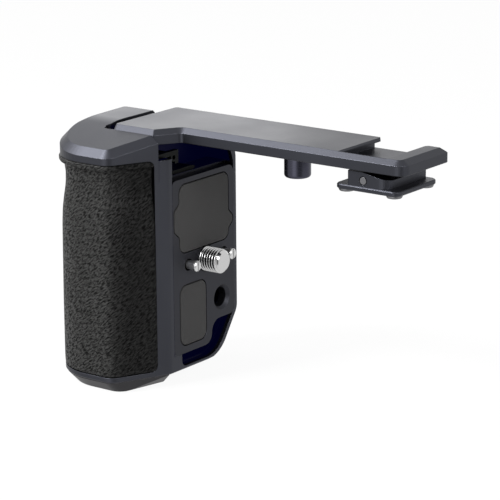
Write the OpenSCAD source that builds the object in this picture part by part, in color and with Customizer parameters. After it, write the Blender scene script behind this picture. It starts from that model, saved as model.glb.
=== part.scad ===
/* [Grip outline] */
// Width of the grip from the inner face to the outer side
body_w = 30; // [27:0.5:34]
// Reach of the nose in front of the screw axis
nose_reach = 30.5; // [29:0.5:34]
// Width of the flat part of the nose, measured from the inner face
nose_in = 7.5; // [5:0.5:10]
// Radius of the nose corner
nose_r = 3.5; // [2:0.5:4]
// Radius of the large front corner that the fingers close round
finger_r = 14; // [10:0.5:15]
// Place where the slanted wall meets the inner face, in front of the axis
slant_reach = 15.42; // [14:0.1:17]
// Radius of that corner
slant_r = 3; // [1:0.5:4]
// Reach of the thin wing behind the screw axis
wing_reach = 13.36; // [12:0.1:16]
// Thickness of the wing
wing_t = 16; // [15.5:0.5:18]
// Radius of the wing's outer back corner
wing_r = 2; // [0.5:0.5:3]
// Radius of the wing's inner back edge
rim_r = 0.6; // [0.2:0.1:1]
// Back wall of the thick part, behind the screw axis
side_reach = 4.2; // [3:0.2:6]
// Radius of the corner at the back of the outer side
side_r = 3; // [1:0.5:4]
// Radius of the hollow between the thick part and the wing
hollow_r = 3; // [1:0.5:4]

/* [Grip heights] */
// Height of the flat top above the screw axis
top_h = 36.35; // [34:0.25:40]
// Depth of the body's lower edge below the screw axis
body_drop = 27.5; // [25:0.5:31]
// Width of the chamfer round the top
cap_chamfer = 1.95; // [1:0.05:2.5]
// Rounding of the lower edge
low_edge = 0.35; // [0.1:0.05:0.8]
// Line where the flat top turns into the falling front facet
crease_reach = 12.5; // [10:0.5:15]
// Half width of the soft turn at that line
crease_w = 2.5; // [0.5:0.5:4]
// Fall of the front facet, as a share of its length
roof_share = 0.222; // [0.1:0.01:0.3]

/* [Wing side profile] */
// Corner of the wing's lower edge, behind the screw axis
low_corner_y = 5.15; // [3:0.25:6]
// Radius of that corner
low_corner_r = 9.7; // [5:0.1:10]
// Height of the corner in the wing's back edge, below the screw axis
back_corner_z = 15.6; // [14:0.2:18]
// Radius of that corner
back_corner_r = 8; // [4:0.5:10]
// Distance of the wing's top edge below the flat top
wing_fall = 3.95; // [3.75:0.05:6]
// Radius of the wing's top back corner
wing_top_r = 10; // [6:0.5:12]
// Wall left at the lower edge of the wing
rim_low = 0.85; // [0.6:0.05:1.5]
// Wall left at the slanted part of the rim
rim_mid = 1.1; // [0.8:0.05:1.6]
// Wall left at the back of the wing
rim_back = 1.5; // [1:0.05:2]

/* [Leather wrap] */
// Height of the cap above the leather
cap_h = 7.25; // [6.5:0.05:9]
// Depth of the leather's lower edge below the screw axis
wrap_drop = 26.1; // [24:0.1:27]
// Depth of the recess that holds the leather
wrap_t = 2.2; // [2:0.1:3]
// Place of the leather's inner edge, in from the inner face
wrap_edge_x = 1.45; // [1:0.05:2.5]
// Place of the leather's inner edge, in front of the screw axis
wrap_edge_y = 18.75; // [17.5:0.05:20]
// Rounding of the leather's corners at that edge
wrap_corner_r = 1.75; // [0.5:0.25:3]
// Hidden end of the leather on the back wall, in from the inner face
wrap_end_x = 20.5; // [20:0.5:24]
// Gap between the leather and its recess
wrap_gap = 0.05; // [0.02:0.01:0.1]
// How far the lip under the cap stands out
wrap_lip = 0.3; // [0:0.05:0.4]
// Depth of the waist under the lip
wrap_waist = 1.5; // [0.5:0.1:1.6]
// Distance of the deepest part of the waist below the leather's upper edge
waist_fall = 5.6; // [4.5:0.1:9]
// Swell of the lower half
wrap_swell = 0.1; // [0:0.05:0.3]

/* [Face plate] */
// Front edge of the plate, in front of the screw axis
plate_front = 13.64; // [13:0.02:15]
// Back edge of the plate, behind the screw axis
plate_back = 11.8; // [11.6:0.02:11.8]
// Distance of the plate's upper edge below the flat top
plate_fall = 13.45; // [13:0.05:15]
// Depth of the plate's lower edge
plate_drop = 23.2; // [22.5:0.1:23.5]
// Depth of the plate's raised lower edge at the back
plate_step_z = 17.2; // [16.5:0.1:18]
// Place where the lower edge steps up, behind the screw axis
plate_step_y = 2; // [1:0.1:3]
// Thickness of the plate
plate_t = 2.8; // [2.4:0.1:3]
// Gap round the plate and under it
plate_gap = 0.05; // [0.02:0.01:0.1]
// Small radius of the plate's front corners
plate_r = 1.4; // [0.5:0.1:2]
// Radius of the plate's back corners
plate_back_r = 2.1; // [1:0.1:3]
// Radius of the outer corner at the step
step_out_r = 2.7; // [1:0.1:3]
// Radius of the inner corner at the step
step_in_r = 3.3; // [1:0.1:3.5]
// Depth of the pad seats in the plate
pad_seat = 0.8; // [0.5:0.1:1.2]
// Height of the pads above the plate
pad_proud = 0.12; // [0.05:0.01:0.3]
// Gap round the pads
pad_gap = 0.3; // [0.2:0.05:0.4]

/* [Upper pad] */
// Front edge of the upper pad, in front of the screw axis
pad_front = 10.9; // [10:0.1:11]
// Back edge of the upper pad, behind the screw axis
pad_back = 9.5; // [9:0.1:10]
// Lower edge of the upper pad
pad_low = 3.5; // [3.4:0.1:4]
// Distance of the upper pad's upper edge below the plate's
pad_margin = 1.6; // [1.4:0.1:3]
// Corner radius of the pads
pad_r = 2.3; // [1:0.1:3]
// Reach of the front ear beyond the edge
ear_front = 2.1; // [1:0.1:2.2]
// Lower end of the front ear, as a share of the pad's height
ear_front_low_share = 0.292; // [0.25:0.001:0.36]
// Upper end of the front ear, as a share of the pad's height
ear_front_high_share = 0.691; // [0.6:0.001:0.75]
// Reach of the back ear beyond the edge
ear_back = 1.8; // [1:0.1:1.9]
// Lower end of the back ear, as a share of the pad's height
ear_back_low_share = 0.152; // [0.14:0.001:0.2]
// Upper end of the back ear, as a share of the pad's height
ear_back_high_share = 0.416; // [0.38:0.001:0.48]
// Slope of an ear's ends, as a share of the pad's height
ear_slope_share = 0.09; // [0.04:0.01:0.1]
// Rounding of an ear's corners
ear_r = 1.4; // [0.3:0.1:1.5]

/* [Lower pad] */
// Front edge of the lower pad, in front of the screw axis
low_pad_front = 11; // [10:0.1:11.2]
// Back edge of the lower pad, in front of the screw axis
low_pad_back = 0.4; // [0.2:0.1:2]
// Upper edge of the lower pad, below the screw axis
low_pad_high = 5.3; // [5:0.1:7]
// Lower edge of the lower pad, below the screw axis
low_pad_low = 21.1; // [19:0.1:21.3]

/* [Tool cavity] */
// Depth of the cavity above the plate
cavity_d = 8.6; // [8.6:0.1:10]
// Height of the cavity's floor above the plate
floor_rise = 0.55; // [0.5:0.05:1.1]
// Distance of the top of the strip beside the cavity below the flat top
strip_fall = 7.45; // [6.9:0.05:8.3]
// Front wall of the notch over the strip
notch_reach = 17.6; // [17.5:0.1:18]

/* [Lower pocket] */
// Front end of the lower pocket, in front of the screw axis
pocket_front = 10.7; // [9:0.1:11]
// Radius of its front end
pocket_r = 1.7; // [1:0.1:1.9]
// Width of the deep part beside the plate's step
pocket_back = 7.2; // [6.8:0.1:7.6]
// Depth of the pocket
pocket_d = 8.6; // [8:0.1:10]
// Ledge left between the pocket's mouth and its deep part
pocket_ledge = 0.35; // [0.3:0.05:0.5]
// Place where the deep part's lower edge turns up
pocket_turn_y = 3.2; // [2.5:0.1:3.4]
// Radius of that turn
pocket_turn_r = 5; // [3:0.5:6]
// How far the deep part runs on behind the plate
pocket_under = 0.4; // [0.2:0.1:0.6]

/* [Mount screw] */
// Radius of the mount screw
screw_r = 3.175; // [3.1:0.005:3.2]
// Length of the screw beyond the inner face
screw_out = 5.75; // [5:0.25:6.5]
// Chamfer at the screw's end
screw_chamfer = 0.75; // [0.3:0.05:1]
// Clearance round the screw
screw_gap = 0.1; // [0.05:0.01:0.15]
// Relief of the screw's shank inside the grip
screw_relief = 0.4; // [0.3:0.05:0.5]
// Depth of the shoulder that the collar rests on
shoulder_d = 7; // [6.5:0.25:8]
// Radius of the bore behind the shoulder
screw_bore_r = 4.7; // [4.6:0.05:4.8]
// Width of the collar
collar_w = 1.5; // [1:0.1:2]
// Radius of the screw's neck, where the collar sits
neck_r = 2.6; // [2.2:0.1:2.8]
// Running clearance of moving parts
run_gap = 0.05; // [0.03:0.01:0.08]
// Radius of the screw's head
head_r = 4.4; // [4:0.1:4.5]
// Length of the screw's head
head_l = 4; // [3:0.5:4]
// Radius of the hexagonal socket in the head
socket_r = 2.3; // [1.8:0.1:2.5]
// Depth of that socket
socket_d = 2.5; // [1.5:0.25:2.8]
// Place of the retaining ring's inner side, in from the inner face
ring_in = 19; // [18.7:0.1:20]
// Width of the retaining ring
ring_w = 1.2; // [1:0.1:2]
// Radius of the tool opening in the retaining ring
ring_open_r = 3; // [2.6:0.1:3.4]
// Radius of the tool opening in the leather
wrap_open_r = 5.2; // [5:0.1:6]

/* [Locating pins] */
// Distance of each pin from the screw axis
pin_y = 7.44; // [7.4:0.02:8]
// Length of the pins beyond the inner face
pin_out = 3.2; // [3:0.1:3.2]
// Radius of a pin's head
pin_head_r = 1.4; // [1.3:0.05:1.5]
// Length of a pin's head
pin_head_l = 1.2; // [1:0.1:1.4]
// Width of the slot across a pin's head
pin_slot_w = 0.5; // [0.3:0.05:0.6]
// Depth of that slot
pin_slot_d = 0.45; // [0.3:0.05:0.6]
// Chamfer of a pin's head
pin_chamfer = 0.3; // [0.1:0.05:0.4]
// Radius of a pin's shaft
pin_r = 1.15; // [1:0.05:1.2]
// Radius of a pin's hole in the plate
pin_hole_r = 1.6; // [1.6:0.05:1.8]
// Outer radius of a guide bush
bush_r = 2.6; // [2.3:0.05:2.6]
// Inner end of a guide bush, in from the inner face
bush_in = 6; // [5:0.25:6.5]
// Radius of a pin's stop flange
flange_r = 1.75; // [1.6:0.05:1.8]
// Width of a pin's stop flange
flange_w = 0.9; // [0.6:0.1:1]
// Clearance round that flange
flange_gap = 0.1; // [0.05:0.01:0.15]
// Inner end of the pin bores, in from the inner face
pin_bore_in = 11.1; // [11:0.05:11.2]
// Outer radius of a pin spring
pin_spring_r = 1.6; // [1.3:0.05:1.65]
// Inner radius of a pin spring
pin_spring_in_r = 1; // [0.8:0.05:1.1]
// Length of a pressed pin spring
pin_spring_l = 1.2; // [0.8:0.1:1.2]

/* [Accessory hole] */
// Place of the accessory hole behind the screw axis
hole_y = 6.4; // [6:0.1:6.8]
// Depth of the accessory hole below the screw axis
hole_z = 11.9; // [11:0.1:12.5]
// Radius of the accessory thread
thread_r = 2.6; // [2.5:0.05:2.7]
// Radius of the chamfer round it
thread_cone_r = 3.4; // [3:0.1:3.6]
// Outer radius of the threaded bush behind the plate
nut_r = 3.8; // [3.4:0.1:4]
// Inner end of the threaded bush, in from the inner face
nut_in = 9; // [8:0.25:10]

/* [Small screws] */
// Radius of the small screws
small_r = 1; // [0.8:0.05:1]
// Clearance round the small screws
small_gap = 0.05; // [0.03:0.01:0.1]
// Radius of the small screws' heads
small_head_r = 1.7; // [1.6:0.05:1.75]
// Length of the small screws' heads
small_head_l = 1.2; // [1:0.05:1.3]
// Radius of the hexagonal socket in a small screw
small_socket_r = 0.85; // [0.6:0.05:1]
// Depth of that socket
small_socket_d = 0.6; // [0.4:0.05:0.8]
// Length of the face plate screws in the body
plate_screw_l = 6; // [4:0.5:8]
// Length of the base screws in the body
base_screw_l = 5; // [4:0.5:6]
// Radius of the long bores that reach the arm screws
reach_bore_r = 1.95; // [1.9:0.05:2]
// Place of the arm screws, in from the inner face
arm_screw_x = 13.2; // [13:0.1:13.5]
// Arm screw nearer the nose, in front of the screw axis
arm_screw_y1 = 14.4; // [13.5:0.1:15]
// Arm screw nearer the axis, in front of the screw axis
arm_screw_y2 = 8; // [7.5:0.1:8.5]
// Distance of the seat of the arm screws' heads below the arm
seat_fall = 3.13; // [2.6:0.01:4.6]
// Thread length of the arm screws in the arm
arm_screw_l = 2.4; // [1.5:0.1:2.6]

/* [Base plate] */
// Thickness of the base plate
base_t = 2.8; // [2:0.1:4]
// Taper of the base plate from top to bottom
base_taper = 2.75; // [1:0.05:3]
// Nose corner of the base plate's sole, in from the inner face
sole_nose_in = 6.7; // [6:0.1:8.5]
// Inner end of the sole, in from the inner face
sole_end_in = 3.4; // [2:0.1:4]
// Inner end of the sole, in front of the screw axis
sole_end_y = 13.9; // [13.4:0.1:14.6]
// Radius of the corner at that end
base_end_r = 1; // [0.5:0.1:2]
// Back corner of the base plate, in from the inner face
base_corner_x = 7; // [6:0.1:9]
// Back corner of the base plate, in front of the screw axis
base_corner_y = 7; // [6:0.1:9]
// Back edge of the base plate, in front of the screw axis
base_back_y = 0.5; // [0.2:0.1:2]
// Radius of the hollow in the grip, closed by the base plate
core_r = 5.6; // [3:0.1:5.6]
// Centre of the hollow, in from the inner face
core_x = 21; // [20.8:0.1:21]
// Centre of the hollow, in front of the screw axis
core_y = 16.5; // [15:0.1:17]
// Distance of the hollow's closed end below the flat top
core_fall = 20.35; // [18.5:0.05:36]

/* [Arm] */
// Far end of the arm from the inner face
arm_end = 67.4; // [67:0.1:68]
// Near end of the arm inside the grip
arm_root = 16.35; // [16:0.05:16.5]
// Front edge of the arm, in front of the screw axis
arm_front = 11.04; // [10.8:0.02:11.4]
// Back edge of the arm, behind the screw axis
arm_back = 9.14; // [8.6:0.02:9.4]
// Front edge of the arm's root
root_front = 17.4; // [17:0.05:17.5]
// Start of the slanted step, in from the inner face
jog_in = 2.9; // [2.5:0.05:3.5]
// End of the slanted step, out from the inner face
jog_out = 0.95; // [0.6:0.05:1.5]
// Thickness of the arm
arm_t = 3.72; // [3.7:0.02:4]
// Width of the chamfer along the arm's front
arm_chamfer_w = 1.5; // [1:0.05:1.6]
// Height of the arm's chamfers
arm_chamfer_h = 1.25; // [0.8:0.05:1.5]
// Width of the chamfer at the arm's end
end_chamfer_w = 1.65; // [1:0.05:1.7]
// Softening of the arm's other edges
arm_edge = 0.15; // [0.1:0.05:0.3]
// Radius of the arm's front end corner
arm_end_r = 2.8; // [1.5:0.1:3.5]
// Radius of the arm's other corners
arm_r = 0.8; // [0.4:0.1:1]
// Radius of the root's front corner at the slot
root_r = 1.5; // [0.5:0.1:2]
// Radius of the corner where the slanted step begins
jog_r = 0.4; // [0.2:0.1:1]
// Width of the strap slot beside the arm's root
strap_w = 2.3; // [1.5:0.1:2.5]
// Radius of the strap slot's bulbed front end
strap_r = 1.6; // [1.2:0.1:1.8]
// Depth of the strap slot below the arm's root
strap_d = 4; // [2:0.5:6]

/* [Shoe receptacle] */
// Width of the hook at the arm's end
hook_w = 5.75; // [5.6:0.05:6.4]
// Length of the receptacle
slot_l = 13.45; // [12.4:0.05:14]
// Depth of the receptacle
slot_d = 2.8; // [2.6:0.05:2.95]
// Undercut of the lips on each side
slot_under = 2.3; // [1.5:0.1:2.3]
// Thickness of the lips
lip_t = 0.9; // [0.8:0.05:1.1]
// Chamfer of the lips' upper edges
slot_chamfer = 0.4; // [0.2:0.05:0.5]
// Width of the front rail
rail_w = 1.45; // [1.2:0.05:1.8]
// Back chamfer of the end hook
hook_chamfer = 1.6; // [0.8:0.1:1.8]

/* [Post] */
// Distance of the post from the inner face
post_x = 29.7; // [27:0.1:32]
// Radius of the post
post_r = 3.375; // [3:0.125:4]
// Length of the post under the arm
post_l = 6.78; // [5.6:0.02:7.6]
// Rounding of the post's lower edge
post_edge = 0.8; // [0.3:0.1:1]
// Depth of the screw well in the post
post_well = 1.9; // [1.5:0.1:2]
// Thread length of the post screw in the arm
post_screw_l = 2.4; // [1.5:0.1:2.6]

/* [Shoe foot] */
// Distance of the foot plate from the arm's end
foot_in = 2.13; // [1.5:0.01:2.8]
// Length and width of the foot plate
foot_w = 18.3; // [18:0.05:18.6]
// Front edge of the foot plate, in front of the screw axis
foot_front = 10.2; // [10:0.05:10.4]
// Thickness of the foot plate
foot_t = 1.25; // [1:0.05:1.3]
// Distance of the foot plate's upper side below the arm
foot_fall = 4.13; // [4.03:0.01:4.4]
// Corner radius of the foot plate
foot_r = 2; // [1:0.1:3]
// Chamfer of the foot plate's edges
foot_edge = 0.25; // [0.1:0.05:0.4]
// Distance of the tilting block from the foot plate's near edge
block_in = 3.78; // [3.4:0.01:4.2]
// Length of the tilting block
block_l = 11.65; // [11.2:0.05:12]
// Back side of the tilting block, behind the screw axis
block_back = 7.1; // [6.5:0.1:7.6]
// Gap between the block and the arm
block_gap = 0.53; // [0.48:0.01:0.7]
// Length of the block's flat top
block_flat_l = 4.45; // [4:0.05:4.6]
// Fall of the block's top to its far edge
block_fall = 1.4; // [1.3:0.05:1.6]
// Radius of the block's visible corner
block_r = 2.9; // [1:0.1:3.5]
// Radius of the block's other corners
block_edge_r = 0.4; // [0.2:0.1:0.8]
// Radius of the corner studs
stud_r = 2; // [1.5:0.1:2]
// Height of the corner studs below the foot plate
stud_h = 0.8; // [0.4:0.05:1]
// Dome of the corner studs
stud_dome = 0.35; // [0.1:0.05:0.38]
// Distance of the corner studs from the foot plate's edges
stud_in = 2.3; // [2.2:0.05:2.6]

/* [Tilt joint] */
// Distance of the tilt pin from the block's near side
tilt_in = 4.53; // [4.4:0.01:4.7]
// Distance of the tilt pin below the arm
tilt_fall = 2.63; // [2.58:0.01:2.68]
// Radius of the tilt pin
tilt_r = 0.6; // [0.5:0.05:0.6]
// Radius of the tilt pin's head
tilt_head_r = 0.9; // [0.8:0.05:0.95]
// Length of the tilt pin's head
tilt_head_l = 0.8; // [0.5:0.05:1]
// Radius of the recess round the head
tilt_well_r = 1.12; // [1.05:0.01:1.15]
// Radius of the arm's lug
lug_r = 1.3; // [1.2:0.05:1.3]
// Front side of the lug, in front of the screw axis
lug_front = 4; // [3.5:0.1:5]
// Back side of the lug, behind the screw axis
lug_back = 1; // [0.5:0.1:2]
// Room beside the lug in the block
lug_gap = 0.6; // [0.5:0.05:0.6]
// Distance of the tilt spring from the block's near side
spring_place = 9.25; // [8.8:0.05:9.7]
// Outer radius of the tilt spring
spring_r = 1.1; // [0.8:0.05:1.2]
// Inner radius of the tilt spring
spring_in_r = 0.7; // [0.5:0.05:0.8]
// Height of the tilt spring's seat above the foot plate
spring_rise = 0.5; // [0.4:0.05:0.9]
// Distance of the shoe screws from the block's near side
shoe_screw_place = 9.25; // [8.8:0.05:9.5]
// Front shoe screw, in front of the screw axis
shoe_screw_front = 6; // [5:0.1:6.5]
// Back shoe screw, behind the screw axis
shoe_screw_back = 3.6; // [3:0.1:4.5]
// Thread length of the shoe screws in the block
shoe_screw_l = 1.6; // [1:0.1:1.8]

/* [Stored tools] */
// Front side of the hex key, in from the inner face
key_x = 2; // [1.5:0.1:2.5]
// Thickness of the hex key's strip
key_t = 1.3; // [1:0.05:1.4]
// Height of the hex key's upper side above the strip
key_rise = 1.25; // [0.9:0.05:1.5]
// Front end of the hex key, in front of the screw axis
key_front = 17; // [16:0.1:17.2]
// Back end of the hex key, in front of the screw axis
key_back = 8.5; // [7.5:0.1:9.5]
// Reach of the hex key's bent end below the strip's top
key_hang = 2.2; // [1.4:0.1:2.9]
// Radius of the eye in the bend
eye_r = 1.1; // [0.9:0.05:1.2]
// Radius of the eye's hole
eye_hole_r = 0.6; // [0.4:0.05:0.7]
// Place of the eye, in front of the screw axis
eye_y = 10.3; // [10:0.1:10.6]
// Distance of the eye below the hex key's upper side
eye_fall = 1.75; // [1.55:0.05:1.95]
// Radius of the key's hexagonal shaft
shaft_r = 1; // [0.8:0.05:1.1]
// Place of the shaft, in front of the screw axis
shaft_y = 12; // [11.5:0.1:12.2]
// Gap between the stored tools and what holds them
tool_gap = 0.05; // [0.03:0.01:0.15]
// Gap between a stored tool's end and its magnet
tool_end_gap = 0.2; // [0.1:0.05:0.4]
// Front side of the flat driver, in from the inner face
driver_x = 3; // [2.9:0.1:4]
// Front end of the flat driver, in front of the screw axis
driver_front = 9.5; // [9:0.1:11]
// Back end of the flat driver, in front of the screw axis
driver_back = 0.5; // [0:0.1:2]
// Thickness of the flat driver
driver_t = 1.1; // [0.8:0.05:1.3]
// Length of the flat driver's ground tip
tip_l = 1; // [0.5:0.1:1.5]
// Thickness of the flat driver's tip
tip_t = 0.6; // [0.4:0.05:0.7]
// Radius of the tool magnets
magnet_r = 1.2; // [1:0.05:1.3]
// Length of the tool magnets
magnet_l = 1.4; // [1:0.1:1.6]
// Place of the driver's magnet, in front of the screw axis
magnet_y = 5; // [4:0.1:6]

/* [Hidden] */
$fn = 64;
over = 0.6;
least_r = 0.3;
far = 80;
wing_top = top_h - wing_fall;
wrap_top = top_h - cap_h;
waist_h = wrap_top - waist_fall;
plate_top = top_h - plate_fall;
pad_high = plate_top - pad_margin;
pad_h = pad_high - pad_low;
ear_slope = pad_h * ear_slope_share;
cavity_floor = plate_top + floor_rise;
strip_top = top_h - strip_fall;
core_top = top_h - core_fall;
key_top = strip_top + key_rise;
key_low = strip_top - key_hang;
eye_z = key_top - eye_fall;
arm_low = top_h - arm_t;
arm_mid_y = (arm_back - arm_front) / 2;
arm_screw_seat = arm_low - seat_fall;
slot_x = arm_root + strap_w;
slot_far = arm_end - hook_w;
slot_near = slot_far - slot_l;
slot_floor = top_h - slot_d;
slot_lip_z = top_h - lip_t;
post_low = arm_low - post_l;
base_low = body_drop + base_t;
plate_seat_x = plate_t + plate_gap;
foot_top = arm_low - foot_fall;
foot_low = foot_top - foot_t;
foot_far = arm_end - foot_in;
foot_near = foot_far - foot_w;
foot_back = foot_w - foot_front;
block_near = foot_near + block_in;
block_far = block_near + block_l;
block_flat = block_near + block_flat_l;
block_top = arm_low - block_gap;
block_far_top = block_top - block_fall;
tilt_x = block_near + tilt_in;
tilt_z = arm_low - tilt_fall;
spring_x = block_near + spring_place;
spring_low = foot_top + spring_rise;
shoe_screw_x = block_near + shoe_screw_place;
hex_sides = 6;
round_steps = 5;
grip_steps = 16;
post_steps = 6;
hook_tilt = 45;

// Rings of the leather's waist: shares of its height and of its depth
waist_shares = [[0.45, 0.08], [0.62, 0.2], [0.76, 0.48], [0.88, 0.84], [0.96, 0.98], [1.04, 1],
  [1.1, 0.78], [1.16, 0.36]];
// Rings of the leather's lower half, as shares of its height
swell_shares = [0.9, 0.45];
// How far the two rings of the lip stand out, as shares of the lip
lip_shares = [0.4, 0.6];
// Cuts at the back of the hook, as shares of its chamfer: along Y, across X, and sloped
hook_shares = [2.4, 0.4, 0.8, 0.7];
// Dome of a corner stud, as shares: flat radius, shoulder radius, shoulder and edge heights
dome_shares = [2, 0.6, 0.4, 1.4];
// Place of the back base screw from the back edge, as a share of the corner's radius
base_screw_share = 1.6;

// Corners of the grip in plan: place, radius and number of steps
outline = [
  [-body_w, -nose_reach, finger_r, grip_steps],
  [-nose_in, -nose_reach, nose_r, 8],
  [0, -slant_reach, slant_r, round_steps],
  [0, wing_reach, rim_r, 3],
  [-wing_t, wing_reach, wing_r, round_steps],
  [-wing_t, side_reach, hollow_r, round_steps],
  [-body_w, side_reach, side_r, round_steps]
];

// Corners of the grip seen from the inner face
side_profile = [
  [-far, -body_drop, 0, 1],
  [low_corner_y, -body_drop, low_corner_r, 10],
  [wing_reach, -back_corner_z, back_corner_r, 8],
  [wing_reach, wing_top, wing_top_r, 14],
  [-far, wing_top, 0, 1]
];

// Corners of the face plate seen from the inner face
plate_outline = [
  [-plate_front, -plate_drop, plate_r, round_steps],
  [plate_step_y, -plate_drop, step_out_r, 8],
  [plate_step_y, -plate_step_z, step_in_r, 8],
  [plate_back, -plate_step_z, plate_back_r, 8],
  [plate_back, plate_top, plate_back_r, 8],
  [-plate_front, plate_top, plate_r, round_steps]
];

// Height at a share of the upper pad
function pad_at(share) = pad_low + pad_h * share;

// Corners of the upper pad with its two ears
upper_pad_outline = [
  [-pad_front, pad_low, pad_r, 8],
  [pad_back, pad_low, pad_r, 8],
  [pad_back, pad_at(ear_back_low_share), 0, 2],
  [pad_back + ear_back, pad_at(ear_back_low_share) + ear_slope, ear_r, 4],
  [pad_back + ear_back, pad_at(ear_back_high_share) - ear_slope, ear_r, 4],
  [pad_back, pad_at(ear_back_high_share), ear_r, 4],
  [pad_back, pad_high, pad_r, 8],
  [-pad_front, pad_high, pad_r, 8],
  [-pad_front, pad_at(ear_front_high_share) + ear_slope / 2, ear_r, 4],
  [-pad_front - ear_front, pad_at(ear_front_high_share) - ear_slope / 2, ear_r, 4],
  [-pad_front - ear_front, pad_at(ear_front_low_share) + ear_slope / 2, ear_r, 4],
  [-pad_front, pad_at(ear_front_low_share) - ear_slope / 2, ear_r, 4]
];

// Corners of the lower pad
lower_pad_outline = [
  [-low_pad_front, -low_pad_low, pad_r, 8],
  [-low_pad_back, -low_pad_low, pad_r, 8],
  [-low_pad_back, -low_pad_high, pad_r, 8],
  [-low_pad_front, -low_pad_high, pad_r, 8]
];

// Room inside the grip's rim, seen from the inner face
room = inset(side_profile, [rim_low, rim_mid, rim_back, rim_back, 0]);

// Corners of the plate's seat, with the lower pocket's mouth under it
seat_outline = [
  [-plate_front - plate_gap, -plate_drop - plate_gap, plate_r + plate_gap, round_steps],
  [-pocket_front, -plate_drop - plate_gap, 0, 1],
  [-pocket_front, -body_drop + rim_low, pocket_r, 6],
  room[1],
  room[2],
  [wing_reach - rim_back, cavity_floor + over, 0, 1],
  [-plate_front - plate_gap, cavity_floor + over, 0, 1]
];

// Corners of the lower pocket's deep part
pocket_outline = [
  [-pocket_front + pocket_ledge, -body_drop + rim_low + pocket_ledge,
    pocket_r - pocket_ledge, 6],
  [pocket_turn_y, -body_drop + rim_low + pocket_ledge, pocket_turn_r, 6],
  [pocket_back, -plate_drop + rim_mid, step_in_r, 6],
  [pocket_back, -plate_step_z + pocket_under, 0, 1],
  [plate_step_y - pocket_under, -plate_step_z + pocket_under, 0, 1],
  [plate_step_y - pocket_under, -plate_drop + pocket_under, 0, 1],
  [-pocket_front + pocket_ledge, -plate_drop + pocket_under, 0, 1]
];

// Corners of the leather in plan, closed straight across at its hidden sides
wrap_outline = [
  [-body_w, -nose_reach, finger_r, grip_steps],
  [-nose_in, -nose_reach, nose_r, 8],
  [0, -slant_reach, slant_r, round_steps],
  [0, side_reach, side_r, round_steps],
  [-body_w, side_reach, side_r, round_steps]
];

// Corners of the base plate in plan
base_outline = [
  [-body_w, -nose_reach, finger_r, grip_steps],
  [-nose_in, -nose_reach, nose_r, 8],
  [0, -slant_reach, base_end_r, 3],
  [-base_corner_x, -base_corner_y, slant_r, round_steps],
  [-base_corner_x, -base_back_y, side_r, round_steps],
  [-body_w, -base_back_y, side_r, round_steps]
];

// Corners of the base plate's sole
sole_outline = [
  [-body_w + base_taper, -nose_reach + base_taper, finger_r - base_taper, grip_steps],
  [-sole_nose_in, -nose_reach + base_taper, nose_r, 8],
  [-sole_end_in, -sole_end_y, base_end_r, 3],
  [-base_corner_x - base_taper, -base_corner_y - base_taper / 2, slant_r, round_steps],
  [-base_corner_x - base_taper, -base_back_y - base_taper, side_r / 2, round_steps],
  [-body_w + base_taper, -base_back_y - base_taper, side_r / 2, round_steps]
];

// Corners of the arm in plan
arm_outline = [
  [-arm_root, -root_front, root_r, 6],
  [-jog_in, -root_front, jog_r, 3],
  [jog_out, -arm_front, root_r, 6],
  [arm_end, -arm_front, arm_end_r, 10],
  [arm_end, arm_back, arm_r, 4],
  [-arm_root, arm_back, arm_r, 4]
];

// Chamfer width of each of the arm's edges
arm_widths = [arm_chamfer_w, arm_chamfer_w, arm_chamfer_w, end_chamfer_w, arm_edge, arm_edge];

// Corners of the foot plate and of the tilting block in plan
foot_outline = [
  [foot_near, -foot_front, foot_r, 6],
  [foot_far, -foot_front, foot_r, 6],
  [foot_far, foot_back, foot_r, 6],
  [foot_near, foot_back, foot_r, 6]
];
block_outline = [
  [block_near, -foot_front + foot_edge, block_edge_r, 3],
  [block_far, -foot_front + foot_edge, block_r, 10],
  [block_far, block_back, block_edge_r, 3],
  [block_near, block_back, block_edge_r, 3]
];

// Places of the screws
plate_screw_spots = [
  [-pad_front + pad_r, pad_high - pad_r],
  [pad_back - pad_r, pad_high - pad_r],
  [-low_pad_front + pad_r, -low_pad_high - pad_r],
  [-low_pad_back - pad_r, -low_pad_low + pad_r]
];
base_screw_spots = [
  [-nose_in - nose_r, -nose_reach + nose_r * 2],
  [-body_w + side_r * 2, -base_back_y - side_r * base_screw_share],
  [-base_corner_x, -slant_reach + slant_r / 2]
];
arm_screw_spots = [[-arm_screw_x, -arm_screw_y1], [-arm_screw_x, -arm_screw_y2]];
shoe_screw_spots = [[shoe_screw_x, -shoe_screw_front], [shoe_screw_x, shoe_screw_back]];
stud_spots = [
  for (x = [foot_near + stud_in, foot_far - stud_in])
    for (y = [-foot_front + stud_in, foot_back - stud_in]) [x, y]
];

// Heights of the leather's rings and how far each stands out from the grip's outline
wrap_rings = concat(
  [[-wrap_drop + wrap_gap, -wrap_swell]],
  [[-wrap_drop + wrap_lip, 0]],
  [for (share = swell_shares) [-wrap_drop * share, wrap_swell]],
  [[0, 0]],
  [for (shares = waist_shares) [waist_h * shares[0], -wrap_waist * shares[1]]],
  [[wrap_top - wrap_lip * 2, wrap_lip * lip_shares[0]]],
  [[wrap_top - wrap_lip, wrap_lip]],
  [[wrap_top - wrap_gap, wrap_lip * lip_shares[1]]]
);

function unit(v) = v / norm(v);
function flat(v) = [v[0], v[1]];
function wrap_turn(a) = a > 180 ? a - 360 : a < -180 ? a + 360 : a;

// Points of one rounded corner between two neighbours
function corner(a, b, c, r, n) =
  r == 0 ? [b] :
  let (u = unit(a - b))
  let (v = unit(c - b))
  let (half = acos(u * v) / 2)
  let (o = b + unit(u + v) * r / sin(half))
  let (s = b + u * r / tan(half) - o)
  let (e = b + v * r / tan(half) - o)
  let (a0 = atan2(s[1], s[0]))
  let (sweep = wrap_turn(atan2(e[1], e[0]) - a0))
  [for (i = [0:n]) o + r * [cos(a0 + sweep * i / n), sin(a0 + sweep * i / n)]];

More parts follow.
